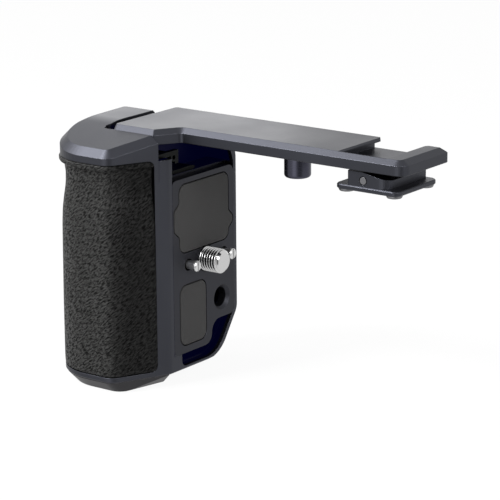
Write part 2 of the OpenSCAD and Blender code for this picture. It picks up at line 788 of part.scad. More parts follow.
// Points of a closed outline given by its corners
function rounded(list) =
  let (n = len(list))
  [for (i = [0:n - 1])
    for (p = corner(flat(list[(i + n - 1) % n]), flat(list[i]), flat(list[(i + 1) % n]),
      list[i][2], list[i][3])) p];

// Outline whose edges are all moved inward, each by its own distance
function inset(list, dist) =
  let (n = len(list))
  [for (i = [0:n - 1])
    let (b = flat(list[i]))
    let (u = unit(b - flat(list[(i + n - 1) % n])))
    let (v = unit(flat(list[(i + 1) % n]) - b))
    let (d1 = dist[(i + n - 1) % n])
    let (d2 = dist[i])
    let (det = u[0] * v[1] - u[1] * v[0])
    let (w = [(d1 * v[0] - d2 * u[0]) / det, (d1 * v[1] - d2 * u[1]) / det])
    let (turn = det > 0 ? -1 : 1)
    let (r = list[i][2] == 0 ? 0 : max(list[i][2] + turn * (d1 + d2) / 2, least_r))
    [b[0] + w[0], b[1] + w[1], r, list[i][3]]];

// The same distance on every edge
function even(list, d) = inset(list, [for (p = list) d]);

// Points lifted to one height
function lifted(points, z) = [for (p = points) [p[0], p[1], z]];

// Height of the grip's roof at a place in front of or behind the screw axis
function roof(y) =
  let (s = -crease_reach - y)
  s < -crease_w ? top_h :
  s > crease_w ? top_h - roof_share * s :
  top_h - roof_share * (s + crease_w) * (s + crease_w) / (4 * crease_w);

// Closed shell through rings that have the same number of points, with ends that fan from a middle
module skin(rings, middle) {
  n = len(rings[0]);
  m = len(rings);
  ends = [for (k = [0, m - 1]) [middle[0], middle[1], rings[k][0][2]]];
  points = concat([for (ring = rings) for (p = ring) p], ends);
  low = [for (i = [0:n - 1]) [m * n, i, (i + 1) % n]];
  high = [for (i = [0:n - 1]) [m * n + 1, (m - 1) * n + (i + 1) % n, (m - 1) * n + i]];
  left_side = [for (k = [0:m - 2]) for (i = [0:n - 1])
    [k * n + i, (k + 1) * n + i, (k + 1) * n + (i + 1) % n]];
  right_side = [for (k = [0:m - 2]) for (i = [0:n - 1])
    [k * n + i, (k + 1) * n + (i + 1) % n, k * n + (i + 1) % n]];
  polyhedron(points = points, faces = concat(low, high, left_side, right_side));
}

// Outline seen from the inner face, carried along X
module along_x(x0, x1, points) {
  translate([x0, 0, 0])
    rotate([90, 0, 90])
      linear_extrude(x1 - x0)
        polygon(points);
}

// Outline in the XZ plane, carried along Y
module along_y(y0, y1, points) {
  translate([0, y1, 0])
    rotate([90, 0, 0])
      linear_extrude(y1 - y0)
        polygon(points);
}

// Outline in plan, carried up
module along_z(z0, z1, points) {
  translate([0, 0, z0])
    linear_extrude(z1 - z0)
      polygon(points);
}

// Block between two corners
module block(a, b) {
  translate(a)
    cube(b - a);
}

// Round rod along X at a place seen from the inner face
module rod_x(x0, x1, r, y = 0, z = 0) {
  translate([x0, y, z])
    rotate([0, 90, 0])
      cylinder(h = x1 - x0, r = r);
}

// Cone along X
module cone_x(x0, x1, r0, r1, y = 0, z = 0) {
  translate([x0, y, z])
    rotate([0, 90, 0])
      cylinder(h = x1 - x0, r1 = r0, r2 = r1);
}

// Round rod along Y
module rod_y(y0, y1, r, x, z) {
  translate([x, y1, z])
    rotate([90, 0, 0])
      cylinder(h = y1 - y0, r = r);
}

// Upright round rod
module rod_z(z0, z1, r, x, y) {
  translate([x, y, z0])
    cylinder(h = z1 - z0, r = r);
}

// Hexagonal socket cut upward into a head
module hex_up(z0, x, y) {
  translate([x, y, z0 - over])
    cylinder(h = small_socket_d + over, r = small_socket_r, $fn = hex_sides);
}

// Small screw that points up, with its head below
module screw_up(x, y, head_low, head_l, tip) {
  difference() {
    union() {
      rod_z(head_low, head_low + head_l, small_head_r, x, y);
      rod_z(head_low + head_l - over / 2, tip, small_r, x, y);
    }
    hex_up(head_low, x, y);
  }
}

// Everything beyond the leather's inner edge, drawn in by a gap
module wrap_waste(gap) {
  angle = atan2(nose_reach - slant_reach, nose_in);
  x = -gap - wrap_corner_r;
  high = wrap_top - gap;
  low = -wrap_drop + gap;
  edge = concat(
    [[far, low - over], [far, high + over], [x, high + over]],
    [for (i = [0:round_steps]) let (a = 90 - 90 * i / round_steps)
      [x + wrap_corner_r * cos(a), high - wrap_corner_r + wrap_corner_r * sin(a)]],
    [for (i = [0:round_steps]) let (a = -90 * i / round_steps)
      [x + wrap_corner_r * cos(a), low + wrap_corner_r + wrap_corner_r * sin(a)]],
    [[x, low - over]]
  );
  intersection() {
    translate([-wrap_edge_x, -wrap_edge_y, 0])
      rotate([0, 0, angle])
        along_y(-far, far, edge);
    block([-wrap_end_x - gap, -nose_reach - over, -far], [over * 2, side_reach + over * 2, far]);
  }
}

// Plain core that the leather lies on
module wrap_core(depth) {
  along_z(-wrap_drop - over, wrap_top + over, rounded(even(wrap_outline, depth)));
}

// Recess for the leather
module wrap_recess() {
  difference() {
    along_z(-wrap_drop, wrap_top, rounded(even(wrap_outline, -over)));
    wrap_core(wrap_t);
    wrap_waste(0);
  }
}

// Outer shape of the grip before anything is cut from it
module grip_blank() {
  wall = rounded(outline);
  cut = rounded(even(outline, cap_chamfer));
  high = rounded(even(outline, cap_chamfer + over));
  n = len(wall) - 1;
  skin([
    lifted(rounded(even(outline, low_edge)), -body_drop),
    lifted(wall, -body_drop + low_edge),
    [for (i = [0:n]) [wall[i][0], wall[i][1], roof(cut[i][1]) - cap_chamfer]],
    [for (i = [0:n]) [high[i][0], high[i][1], roof(cut[i][1]) + over]],
    lifted(high, top_h + over * 2)
  ], [-wing_t / 2, -crease_reach]);
}

// Everything above the grip's roof
module above_roof() {
  steps = 8;
  edge = concat(
    [[-nose_reach - over, roof(-nose_reach - over)]],
    [for (i = [0:steps]) let (y = -crease_reach - crease_w + 2 * crease_w * i / steps) [y, roof(y)]],
    [[wing_reach + over, top_h]],
    [[wing_reach + over, top_h + over * 4]],
    [[-nose_reach - over, top_h + over * 4]]
  );
  along_x(-body_w - over, over, edge);
}

// Everything outside the grip's side profile: low all the way, high at the wing only
module profile_waste() {
  difference() {
    block([-body_w - over, 0, -body_drop - over], [over, wing_reach + over, -over]);
    along_x(-body_w - over * 2, over * 2, rounded(side_profile));
  }
  difference() {
    block([-wing_t - hollow_r, wing_reach - wing_top_r, wing_top - wing_top_r],
      [over, wing_reach + over, wing_top + over]);
    along_x(-body_w - over, over * 2, rounded(side_profile));
  }
}

// Room for the stored tools, open at the inner face and up to the arm
module tool_cavity() {
  intersection() {
    along_x(-cavity_d, over, rounded(room));
    block([-cavity_d, -plate_front, cavity_floor], [over, wing_reach, top_h]);
  }
  block([-cavity_d, -plate_front, cavity_floor], [over, wing_reach - wing_top_r, top_h]);
  block([-cavity_d, -notch_reach, strip_top], [over, -plate_front + over, top_h]);
}

// Seat of the face plate and the pocket under it
module plate_seat() {
  along_x(-plate_seat_x, over, rounded(seat_outline));
  along_x(-pocket_d, -plate_t / 2, rounded(pocket_outline));
}

// Bores of the screw, the pins and the accessory thread
module face_bores() {
  rod_x(-far, -shoulder_d, screw_bore_r);
  rod_x(-shoulder_d - over, over, screw_r + screw_gap);
  for (side = [-1, 1]) {
    rod_x(-bush_in, over, bush_r + small_gap, side * pin_y);
    rod_x(-pin_bore_in, over, flange_r + flange_gap, side * pin_y);
  }
  rod_x(-nut_in, over, nut_r + small_gap, hole_y, -hole_z);
  for (p = plate_screw_spots)
    rod_x(-plate_t - plate_screw_l, over, small_r + small_gap, p[0], p[1]);
}

// Screw holes and hollows that open downward
module low_bores() {
  for (p = arm_screw_spots) {
    rod_z(-far, arm_screw_seat, reach_bore_r, p[0], p[1]);
    rod_z(arm_screw_seat - over, top_h, small_r + small_gap, p[0], p[1]);
  }
  for (p = base_screw_spots)
    rod_z(-far, -body_drop + base_screw_l + over, small_r + small_gap, p[0], p[1]);
  rod_z(-far, core_top, core_r, -core_x, -core_y);
}

// Pocket for the arm's root and the strap slot beside it
module root_pocket() {
  block([-slot_x, -notch_reach, arm_low], [over, wing_reach + over, top_h + over * 3]);
  block([-slot_x, -root_front + root_r, arm_low - strap_d],
    [-arm_root, side_reach + over, top_h + over * 3]);
  rod_z(arm_low - strap_d, top_h + over * 3, strap_r, -slot_x + strap_w / 2, -root_front + root_r);
}

// Seats of the two tool magnets in the cavity's back wall
module magnet_seats() {
  for (p = magnet_spots())
    rod_x(-cavity_d - magnet_l - tool_gap, -cavity_d + over, magnet_r + tool_gap, p[0], p[1]);
}

function magnet_spots() = [
  [-shaft_y, shaft_z()],
  [-magnet_y, cavity_floor + magnet_r + tool_gap * 2]
];
function shaft_z() = key_top - shaft_r;

module grip_body() {
  color("#4b4c57")
    difference() {
      grip_blank();
      above_roof();
      profile_waste();
      wrap_recess();
      root_pocket();
      tool_cavity();
      plate_seat();
      face_bores();
      low_bores();
      magnet_seats();
    }
}

module leather_wrap() {
  color("#1c1c1e")
    difference() {
      skin([for (r = wrap_rings) lifted(rounded(even(wrap_outline, -r[1])), r[0])],
        [-body_w / 2, -crease_reach]);
      wrap_core(wrap_t - wrap_gap);
      wrap_waste(wrap_gap);
      profile_waste();
      rod_x(-body_w - over, -body_w / 2, wrap_open_r);
    }
}

module face_plate() {
  color("#44454e")
    difference() {
      along_x(-plate_t, 0, rounded(plate_outline));
      along_x(-pad_seat, over, rounded(even(upper_pad_outline, -pad_gap)));
      along_x(-pad_seat, over, rounded(even(lower_pad_outline, -pad_gap)));
      rod_x(-plate_t - over, over, screw_r + screw_gap * 2);
      for (side = [-1, 1])
        rod_x(-plate_t - over, over, pin_hole_r, side * pin_y);
      rod_x(-plate_t - over, over, thread_r, hole_y, -hole_z);
      cone_x(-thread_cone_r + thread_r, 0, thread_r, thread_cone_r, hole_y, -hole_z);
      for (p = plate_screw_spots) {
        rod_x(-plate_t - over, over, small_r + small_gap, p[0], p[1]);
        rod_x(-pad_seat - small_head_l, over, small_head_r + small_gap, p[0], p[1]);
      }
    }
}

module plate_screws() {
  color("#303035")
    for (p = plate_screw_spots)
      difference() {
        union() {
          rod_x(-pad_seat - small_head_l, -pad_seat - tool_gap, small_head_r, p[0], p[1]);
          rod_x(-plate_t - plate_screw_l + over, -pad_seat - small_head_l + over / 2,
            small_r, p[0], p[1]);
        }
        translate([-pad_seat - small_socket_d, p[0], p[1]])
          rotate([0, 90, 0])
            cylinder(h = small_socket_d + over, r = small_socket_r, $fn = hex_sides);
      }
}

module upper_pad() {
  color("#3c3c3e")
    along_x(-pad_seat, pad_proud, rounded(upper_pad_outline));
}

module lower_pad() {
  color("#3c3c3e")
    along_x(-pad_seat, pad_proud, rounded(lower_pad_outline));
}

module base_plate() {
  color("#55565f")
    difference() {
      skin([
        lifted(rounded(sole_outline), -base_low),
        lifted(rounded(even(base_outline, low_edge)), -body_drop - low_edge / 2),
        lifted(rounded(even(base_outline, low_edge)), -body_drop)
      ], [-body_w / 2, -crease_reach]);
      for (p = base_screw_spots) {
        rod_z(-far, far, small_r + small_gap, p[0], p[1]);
        rod_z(-far, -base_low + small_head_l + small_gap, small_head_r + small_gap, p[0], p[1]);
      }
    }
}

module base_screws() {
  color("#303035")
    for (p = base_screw_spots)
      screw_up(p[0], p[1], -base_low + small_gap, small_head_l, -body_drop + base_screw_l);
}

// Cut that makes the shoe receptacle, with undercut lips
module receptacle_cut() {
  profile = [
    [slot_near - slot_under, slot_floor],
    [slot_far + slot_under, slot_floor],
    [slot_far + slot_under, slot_lip_z],
    [slot_far, slot_lip_z],
    [slot_far, top_h - slot_chamfer],
    [slot_far + slot_chamfer + over, top_h + over],
    [slot_near - slot_chamfer - over, top_h + over],
    [slot_near, top_h - slot_chamfer],
    [slot_near, slot_lip_z],
    [slot_near - slot_under, slot_lip_z]
  ];
  along_y(-arm_front + rail_w, arm_back + over, profile);
  corner_cut = [
    [slot_far - over, arm_back - hook_chamfer * hook_shares[0]],
    [slot_far + hook_chamfer, arm_back - hook_chamfer * hook_shares[1]],
    [slot_far + hook_chamfer, arm_back + over],
    [slot_far - over, arm_back + over]
  ];
  along_z(slot_floor, top_h + over, corner_cut);
  plate_cut = [
    [slot_near + over, arm_back - hook_chamfer],
    [slot_near + over, arm_back + over],
    [slot_near - hook_chamfer * hook_shares[2], arm_back + over]
  ];
  along_z(slot_floor, top_h + over, plate_cut);
  slope = hook_chamfer * hook_shares[3];
  translate([0, arm_back, top_h])
    rotate([hook_tilt, 0, 0])
      block([slot_far - over, -slope, -slope], [arm_end + over, slope, slope]);
}

module arm() {
  color("#50515c")
    difference() {
      union() {
        difference() {
          skin([
            lifted(rounded(even(arm_outline, arm_edge)), arm_low),
            lifted(rounded(arm_outline), arm_low + arm_edge),
            lifted(rounded(arm_outline), top_h - arm_chamfer_h),
            lifted(rounded(inset(arm_outline, arm_widths)), top_h)
          ], [0, arm_mid_y]);
          receptacle_cut();
        }
        rod_y(-lug_front, lug_back, lug_r, tilt_x, tilt_z);
        block([tilt_x - lug_r, -lug_front, tilt_z], [tilt_x + lug_r, lug_back, arm_low + over]);
      }
      rod_y(-lug_front - over, lug_back + over, tilt_r + run_gap, tilt_x, tilt_z);
      for (p = arm_screw_spots)
        rod_z(arm_low - over, arm_low + arm_screw_l + small_gap, small_r + small_gap, p[0], p[1]);
      rod_z(arm_low - over, arm_low + post_screw_l + small_gap, small_r + small_gap,
        post_x, arm_mid_y);
    }
}

module arm_screws() {
  color("#303035")
    for (p = arm_screw_spots)
      screw_up(p[0], p[1], arm_screw_seat - small_head_l, small_head_l, arm_low + arm_screw_l);
}

module arm_post() {
  color("#2c2d34")
    translate([post_x, arm_mid_y, 0])
      rotate_extrude()
        polygon(concat(
          [[small_r + small_gap, post_low + post_well]],
          [[small_r + small_gap, arm_low]],
          [[post_r, arm_low]],
          [for (i = [0:post_steps]) let (a = 90 * i / post_steps)
            [post_r - post_edge + post_edge * cos(a), post_low + post_edge - post_edge * sin(a)]],
          [[small_head_r + small_gap, post_low]],
          [[small_head_r + small_gap, post_low + post_well]]
        ));
}

module post_screw() {
  color("#303035")
    screw_up(post_x, arm_mid_y, post_low + post_well - small_head_l, small_head_l,
      arm_low + post_screw_l);
}

module thread_bush() {
  color("#2a2a30")
    difference() {
      rod_x(-nut_in + small_gap, -plate_seat_x, nut_r, hole_y, -hole_z);
      rod_x(-nut_in - over, 0, thread_r, hole_y, -hole_z);
    }
}

module pin_bushes() {
  color("#8a7a4a")
    for (side = [-1, 1])
      difference() {
        rod_x(-bush_in, -plate_seat_x, bush_r, side * pin_y);
        rod_x(-bush_in - over, 0, pin_r + run_gap, side * pin_y);
      }
}

module pin_springs() {
  color("#9a9aa0")
    for (side = [-1, 1])
      difference() {
        rod_x(-pin_bore_in, -pin_bore_in + pin_spring_l, pin_spring_r, side * pin_y);
        rod_x(-pin_bore_in - over, 0, pin_spring_in_r, side * pin_y);
      }
}

module retaining_ring() {
  color("#303035")
    difference() {
      rod_x(-ring_in - ring_w, -ring_in, screw_bore_r - small_gap);
      rod_x(-ring_in - ring_w - over, 0, ring_open_r);
    }
}

module tool_magnets() {
  color("#b0b0b4")
    for (p = magnet_spots())
      rod_x(-cavity_d - magnet_l, -cavity_d, magnet_r, p[0], p[1]);
}

module screw_collar() {
  color("#a08a50")
    difference() {
      rod_x(-shoulder_d - collar_w, -shoulder_d, screw_bore_r - run_gap);
      rod_x(-shoulder_d - collar_w - over, 0, neck_r + run_gap);
    }
}

module mount_screw() {
  neck_in = shoulder_d + collar_w + run_gap;
  color("#d8d8da")
    difference() {
      union() {
        rod_x(-shoulder_d + run_gap, over, screw_r - screw_relief);
        rod_x(0, screw_out - screw_chamfer, screw_r);
        cone_x(screw_out - screw_chamfer, screw_out, screw_r, screw_r - screw_chamfer);
        rod_x(-neck_in - over, -shoulder_d + over, neck_r);
        rod_x(-neck_in - head_l, -neck_in, head_r);
      }
      translate([-neck_in - head_l - over, 0, 0])
        rotate([0, 90, 0])
          cylinder(h = socket_d + over, r = socket_r, $fn = hex_sides);
    }
}

// Headed pin with its stop flange
module locating_pin(y) {
  color("#d8d8da")
    difference() {
      union() {
        cone_x(pin_out - pin_chamfer, pin_out, pin_head_r, pin_head_r - pin_chamfer, y);
        rod_x(pin_out - pin_head_l, pin_out - pin_chamfer, pin_head_r, y);
        rod_x(-bush_in - flange_w, pin_out - pin_head_l, pin_r, y);
        rod_x(-bush_in - flange_w, -bush_in - run_gap, flange_r, y);
      }
      block([pin_out - pin_slot_d, y - pin_slot_w / 2, -far], [far, y + pin_slot_w / 2, far]);
    }
}

module left_pin() {
  locating_pin(-pin_y);
}

module right_pin() {
  locating_pin(pin_y);
}

module shoe_block() {
  color("#4c4d59")
    difference() {
      along_z(foot_top, block_top, rounded(block_outline));
      along_y(-foot_front - over, block_back + over, [
        [block_flat, block_top],
        [block_far + over, block_far_top - over * (block_top - block_far_top)
          / (block_far - block_flat)],
        [block_far + over, block_top + over],
        [block_flat, block_top + over]
      ]);
      block([tilt_x - lug_r - lug_gap, -lug_front - run_gap, foot_top - over],
        [tilt_x + lug_r + lug_gap, lug_back + run_gap, block_top + over]);
      rod_y(-foot_front, lug_back + tilt_head_l + over, tilt_r + small_gap, tilt_x, tilt_z);
      rod_y(-foot_front - over, -foot_front + foot_edge + tilt_head_l, tilt_well_r,
        tilt_x, tilt_z);
      rod_z(spring_low, block_top + over, spring_r + lug_gap / 2, spring_x, arm_mid_y);
      for (p = shoe_screw_spots)
        rod_z(foot_top - over, foot_top + shoe_screw_l + small_gap, small_r + small_gap,
          p[0], p[1]);
    }
}

module tilt_pin() {
  color("#8d8d90") {
    rod_y(-foot_front + foot_edge, -foot_front + foot_edge + tilt_head_l, tilt_head_r,
      tilt_x, tilt_z);
    rod_y(-foot_front + foot_edge + tilt_head_l / 2, lug_back + tilt_head_l, tilt_r,
      tilt_x, tilt_z);
  }
}

module shoe_plate() {
  color("#4c4d59")
    difference() {
      skin([
        lifted(rounded(even(foot_outline, foot_edge)), foot_low),
        lifted(rounded(foot_outline), foot_low + foot_edge),
        lifted(rounded(foot_outline), foot_top - foot_edge),
        lifted(rounded(even(foot_outline, foot_edge)), foot_top)
      ], [foot_near + foot_w / 2, (foot_back - foot_front) / 2]);
      for (p = shoe_screw_spots) {
        rod_z(foot_low - over, foot_top + over, small_r + small_gap, p[0], p[1]);
        rod_z(foot_low - over, foot_low + foot_t / 2 + small_gap, small_head_r + small_gap,
          p[0], p[1]);
      }
      for (p = stud_spots)
        rod_z(foot_low - over, foot_top - foot_edge, small_r + small_gap, p[0], p[1]);
    }
}

module shoe_screws() {
  color("#303035")
    for (p = shoe_screw_spots)
      difference() {
        union() {
          rod_z(foot_low + small_gap, foot_low + foot_t / 2, small_head_r, p[0], p[1]);
          rod_z(foot_low + foot_t / 4, foot_top + shoe_screw_l, small_r, p[0], p[1]);
        }
        hex_up(foot_low, p[0], p[1]);
      }
}

module corner_studs() {
  color("#9c9ca0")
    for (p = stud_spots)
      difference() {
        union() {
          translate([p[0], p[1], 0])
            rotate_extrude()
              polygon([
                [0, foot_low - stud_h],
                [stud_r - stud_dome * dome_shares[0], foot_low - stud_h],
                [stud_r - stud_dome * dome_shares[1], foot_low - stud_h + stud_dome * dome_shares[2]],
                [stud_r, foot_low - stud_h + stud_dome * dome_shares[3]],
                [stud_r, foot_low],
                [0, foot_low]
              ]);
          rod_z(foot_low - stud_h / 2, foot_top - foot_edge - small_gap, small_r, p[0], p[1]);
        }
        hex_up(foot_low - stud_h, p[0], p[1]);
      }
}

module tilt_spring() {
  color("#3a3a3e")
    difference() {
      rod_z(spring_low + run_gap, arm_low, spring_r, spring_x, arm_mid_y);
      rod_z(spring_low - over, arm_low + over, spring_in_r, spring_x, arm_mid_y);
    }
}

module hex_key() {
  x0 = -key_x - key_t;
  color("#3c4038")
    difference() {
      union() {
        block([x0, -key_front, strip_top + tool_gap], [-key_x, -key_back, key_top]);
        block([x0, -key_back - key_t, key_low], [-key_x, -key_back, key_top]);
        rod_x(x0, -key_x, eye_r, -eye_y, eye_z);
        translate([-cavity_d + tool_end_gap, -shaft_y, shaft_z()])
          rotate([0, 90, 0])
            cylinder(h = cavity_d - tool_end_gap - key_x - key_t / 2, r = shaft_r, $fn = hex_sides);
      }
      rod_x(x0 - over, 0, eye_hole_r, -eye_y, eye_z);
    }
}

module flat_driver() {
  z0 = cavity_floor + tool_gap;
  color("#4a4f48")
    along_x(-cavity_d + tool_end_gap, -driver_x, [
      [-driver_front, z0],
      [-driver_back - tip_l, z0],
      [-driver_back, z0 + (driver_t - tip_t) / 2],
      [-driver_back, z0 + (driver_t + tip_t) / 2],
      [-driver_back - tip_l, z0 + driver_t],
      [-driver_front, z0 + driver_t]
    ]);
}

grip_body();
leather_wrap();
face_plate();
plate_screws();
upper_pad();
lower_pad();
base_plate();
base_screws();
arm();
arm_screws();
arm_post();
post_screw();
thread_bush();
pin_bushes();
pin_springs();
retaining_ring();
tool_magnets();
screw_collar();
mount_screw();
left_pin();
right_pin();
shoe_block();
tilt_pin();
shoe_plate();
shoe_screws();
corner_studs();
tilt_spring();
hex_key();
flat_driver();
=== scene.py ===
import math

import bmesh
import bpy
from mathutils import Matrix, Vector


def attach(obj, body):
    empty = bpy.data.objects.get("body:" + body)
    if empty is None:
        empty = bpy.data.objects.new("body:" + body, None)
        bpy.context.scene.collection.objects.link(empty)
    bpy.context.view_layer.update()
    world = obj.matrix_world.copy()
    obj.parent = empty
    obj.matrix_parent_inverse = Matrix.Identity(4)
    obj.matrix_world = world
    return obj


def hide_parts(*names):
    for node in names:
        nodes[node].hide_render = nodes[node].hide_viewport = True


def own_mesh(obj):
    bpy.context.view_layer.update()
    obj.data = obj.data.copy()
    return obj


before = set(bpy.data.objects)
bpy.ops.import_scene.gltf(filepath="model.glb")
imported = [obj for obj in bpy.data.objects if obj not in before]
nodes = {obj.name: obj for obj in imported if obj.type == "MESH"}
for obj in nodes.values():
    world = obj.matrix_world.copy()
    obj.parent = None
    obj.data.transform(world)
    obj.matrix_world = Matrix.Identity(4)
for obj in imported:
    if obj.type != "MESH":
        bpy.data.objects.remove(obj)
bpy.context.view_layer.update()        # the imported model, metres, x out of the inner face, z up
scene = bpy.context.scene
scene.view_settings.view_transform = "Standard"
mm = 0.001
print("stage: frame loaded,", len(nodes), "nodes")


# camera

cameraSetup = {
    "azimuth": 36.695,            # degrees round the grip, 0 looks along +y
    "elevation": 15.084,
    "roll": -0.45,
    "distance": 628.71,           # mm
    "target": (14.066, 0, 4.383),
    "lens": 177.96,
    "sensor": 36,
    "clip": (0.05, 20),           # m
}


def makeCamera(setup):
    a, e, r = (math.radians(setup[k]) for k in ("azimuth", "elevation", "roll"))
    back = Vector((math.sin(a) * math.cos(e), -math.cos(a) * math.cos(e), math.sin(e)))
    right = Vector((math.cos(a), math.sin(a), 0))
    up = back.cross(right)
    turnedRight = right * math.cos(r) + up * math.sin(r)
    turnedUp = up * math.cos(r) - right * math.sin(r)
    data = bpy.data.cameras.new("camera")
    data.lens = setup["lens"]
    data.sensor_width = setup["sensor"]
    data.clip_start, data.clip_end = setup["clip"]
    camera = bpy.data.objects.new("camera", data)
    place = (Vector(setup["target"]) + back * setup["distance"]) * mm
    camera.matrix_world = Matrix((
        (turnedRight.x, turnedUp.x, back.x, place.x),
        (turnedRight.y, turnedUp.y, back.y, place.y),
        (turnedRight.z, turnedUp.z, back.z, place.z),
        (0, 0, 0, 1),
    ))
    scene.collection.objects.link(camera)
    scene.camera = camera


makeCamera(cameraSetup)
print("stage: camera")


# small helpers for node trees

def addNode(tree, kind, **values):
    node = tree.nodes.new(kind)
    for key, value in values.items():
        setattr(node, key, value)
    return node


def feed(tree, value, socket):         # links another node's output, or sets a number or a colour
    if isinstance(value, bpy.types.NodeSocket):
        tree.links.new(value, socket)
    elif socket.type == "RGBA":
        socket.default_value = (*value, 1)
    else:
        socket.default_value = value


def newGroup(name, inputs, outputs):
    tree = bpy.data.node_groups.new(name, "ShaderNodeTree")
    for label, kind, value in inputs:
        socket = tree.interface.new_socket(name=label, in_out="INPUT", socket_type=kind)
        if value is not None:
            socket.default_value = value
    for label, kind in outputs:
        tree.interface.new_socket(name=label, in_out="OUTPUT", socket_type=kind)
    return tree, tree.nodes.new("NodeGroupInput"), tree.nodes.new("NodeGroupOutput")


def placeGroup(tree, group, **values):
    node = addNode(tree, "ShaderNodeGroup", node_tree=group)
    for key, value in values.items():
        feed(tree, value, node.inputs[key])
    return node


def combine(tree, operation, *values):      # one maths node after another, such as a product of them all
    result = values[0]
    for value in values[1:]:
        node = addNode(tree, "ShaderNodeMath", operation=operation)
        feed(tree, result, node.inputs[0])
        feed(tree, value, node.inputs[1])
        result = node.outputs[0]
    return result


def mapRange(tree, value, low, high, toLow=0.0, toHigh=1.0, smooth=False):
    node = addNode(tree, "ShaderNodeMapRange")
    if smooth:
        node.interpolation_type = "SMOOTHSTEP"
    feed(tree, value, node.inputs["Value"])
    for key, limit in (("From Min", low), ("From Max", high), ("To Min", toLow), ("To Max", toHigh)):
        feed(tree, limit, node.inputs[key])
    return node.outputs["Result"]


def mixColour(tree, factor, first, second):
    node = addNode(tree, "ShaderNodeMix", data_type="RGBA")
    feed(tree, factor, node.inputs["Factor"])
    feed(tree, first, node.inputs[6])
    feed(tree, second, node.inputs[7])
    return node.outputs[2]


def noiseNode(tree, vector, scale, detail=2, dimensions="3D", **sockets):
    node = addNode(tree, "ShaderNodeTexNoise", noise_dimensions=dimensions)
    feed(tree, vector, node.inputs["W" if dimensions == "1D" else "Vector"])
    feed(tree, scale, node.inputs["Scale"])
    feed(tree, detail, node.inputs["Detail"])
    for key, value in sockets.items():
        feed(tree, value, node.inputs[key])
    return node


def splitAxes(tree, vector):
    node = addNode(tree, "ShaderNodeSeparateXYZ")
    feed(tree, vector, node.inputs[0])
    return node.outputs


def shaded(colour, share):
    return tuple(c * share for c in colour)


# effects that several materials share

blastEffect = {"fineRoughness": 0.6, "cloudDetail": 3, "cloudEdges": (0.3, 0.7)}
edgeEffect = {"samples": 6, "turnEdges": (0.02, 0.25), "patchScale": 420, "patchEdges": (0.42, 0.62)}
dustEffect = {
    "speckScale": 2600, "speckEdges": (0.6, 0.72),
    "driftScale": 90, "driftEdges": (0.35, 0.7),
    "facing": (-0.4, 1.0), "facingShares": (0.25, 1.0),       # thinner on what faces down
}


def makeBlastGroup():
    tree, into, out = newGroup(
        "beadBlast",
        [("Vector", "NodeSocketVector", None), ("Grain", "NodeSocketFloat", 6000.0),
         ("Cloud", "NodeSocketFloat", 60.0)],
        [("Height", "NodeSocketFloat"), ("Tone", "NodeSocketFloat")],
    )
    place, effect = into.outputs["Vector"], blastEffect
    fine = noiseNode(tree, place, into.outputs["Grain"], Roughness=effect["fineRoughness"])
    cloud = noiseNode(tree, place, into.outputs["Cloud"], detail=effect["cloudDetail"])
    feed(tree, fine.outputs["Fac"], out.inputs["Height"])
    feed(tree, mapRange(tree, cloud.outputs["Fac"], *effect["cloudEdges"]), out.inputs["Tone"])
    return tree


def makeEdgeGroup():                   # rounded edges, bright in patches: partly wear, partly painted highlight
    tree, into, out = newGroup(
        "edgeWearAndHighlight",
        [("Vector", "NodeSocketVector", None), ("Radius", "NodeSocketFloat", 0.0002),
         ("Amount", "NodeSocketFloat", 0.5)],
        [("Mask", "NodeSocketFloat"), ("Normal", "NodeSocketVector")],
    )
    effect = edgeEffect
    bevel = addNode(tree, "ShaderNodeBevel", samples=effect["samples"])
    feed(tree, into.outputs["Radius"], bevel.inputs["Radius"])
    geometry = addNode(tree, "ShaderNodeNewGeometry")
    facing = addNode(tree, "ShaderNodeVectorMath", operation="DOT_PRODUCT")
    feed(tree, bevel.outputs["Normal"], facing.inputs[0])
    feed(tree, geometry.outputs["Normal"], facing.inputs[1])
    turn = combine(tree, "SUBTRACT", 1.0, facing.outputs["Value"])
    patch = noiseNode(tree, into.outputs["Vector"], effect["patchScale"], detail=4)
    rubbedAndHighlit = mapRange(tree, turn, *effect["turnEdges"])
    patchy = mapRange(tree, patch.outputs["Fac"], *effect["patchEdges"])
    feed(tree, combine(tree, "MULTIPLY", rubbedAndHighlit, patchy, into.outputs["Amount"]), out.inputs["Mask"])
    feed(tree, bevel.outputs["Normal"], out.inputs["Normal"])
    return tree


def makeTurningGroup():
    tree, into, out = newGroup(
        "turningMarks",
        [("Along", "NodeSocketFloat", 0.0), ("Pitch", "NodeSocketFloat", 9000.0)],
        [("Height", "NodeSocketFloat")],
    )
    along = combine(tree, "MULTIPLY", into.outputs["Along"], into.outputs["Pitch"])
    marks = noiseNode(tree, along, 1, detail=3, dimensions="1D")
    feed(tree, marks.outputs["Fac"], out.inputs["Height"])
    return tree


def makeDustGroup():
    tree, into, out = newGroup(
        "dust",
        [("Vector", "NodeSocketVector", None), ("Amount", "NodeSocketFloat", 0.3)],
        [("Mask", "NodeSocketFloat")],
    )
    effect = dustEffect
    speck = noiseNode(tree, into.outputs["Vector"], effect["speckScale"])
    drift = noiseNode(tree, into.outputs["Vector"], effect["driftScale"])
    facing = splitAxes(tree, addNode(tree, "ShaderNodeNewGeometry").outputs["Normal"])
    settled = combine(
        tree, "MULTIPLY",
        mapRange(tree, speck.outputs["Fac"], *effect["speckEdges"]),
        mapRange(tree, drift.outputs["Fac"], *effect["driftEdges"]),
        mapRange(tree, facing["Z"], *effect["facing"], *effect["facingShares"]),
        into.outputs["Amount"],
    )
    feed(tree, settled, out.inputs["Mask"])
    return tree


blastGroup, edgeGroup = makeBlastGroup(), makeEdgeGroup()
turningGroup, dustGroup = makeTurningGroup(), makeDustGroup()


# materials

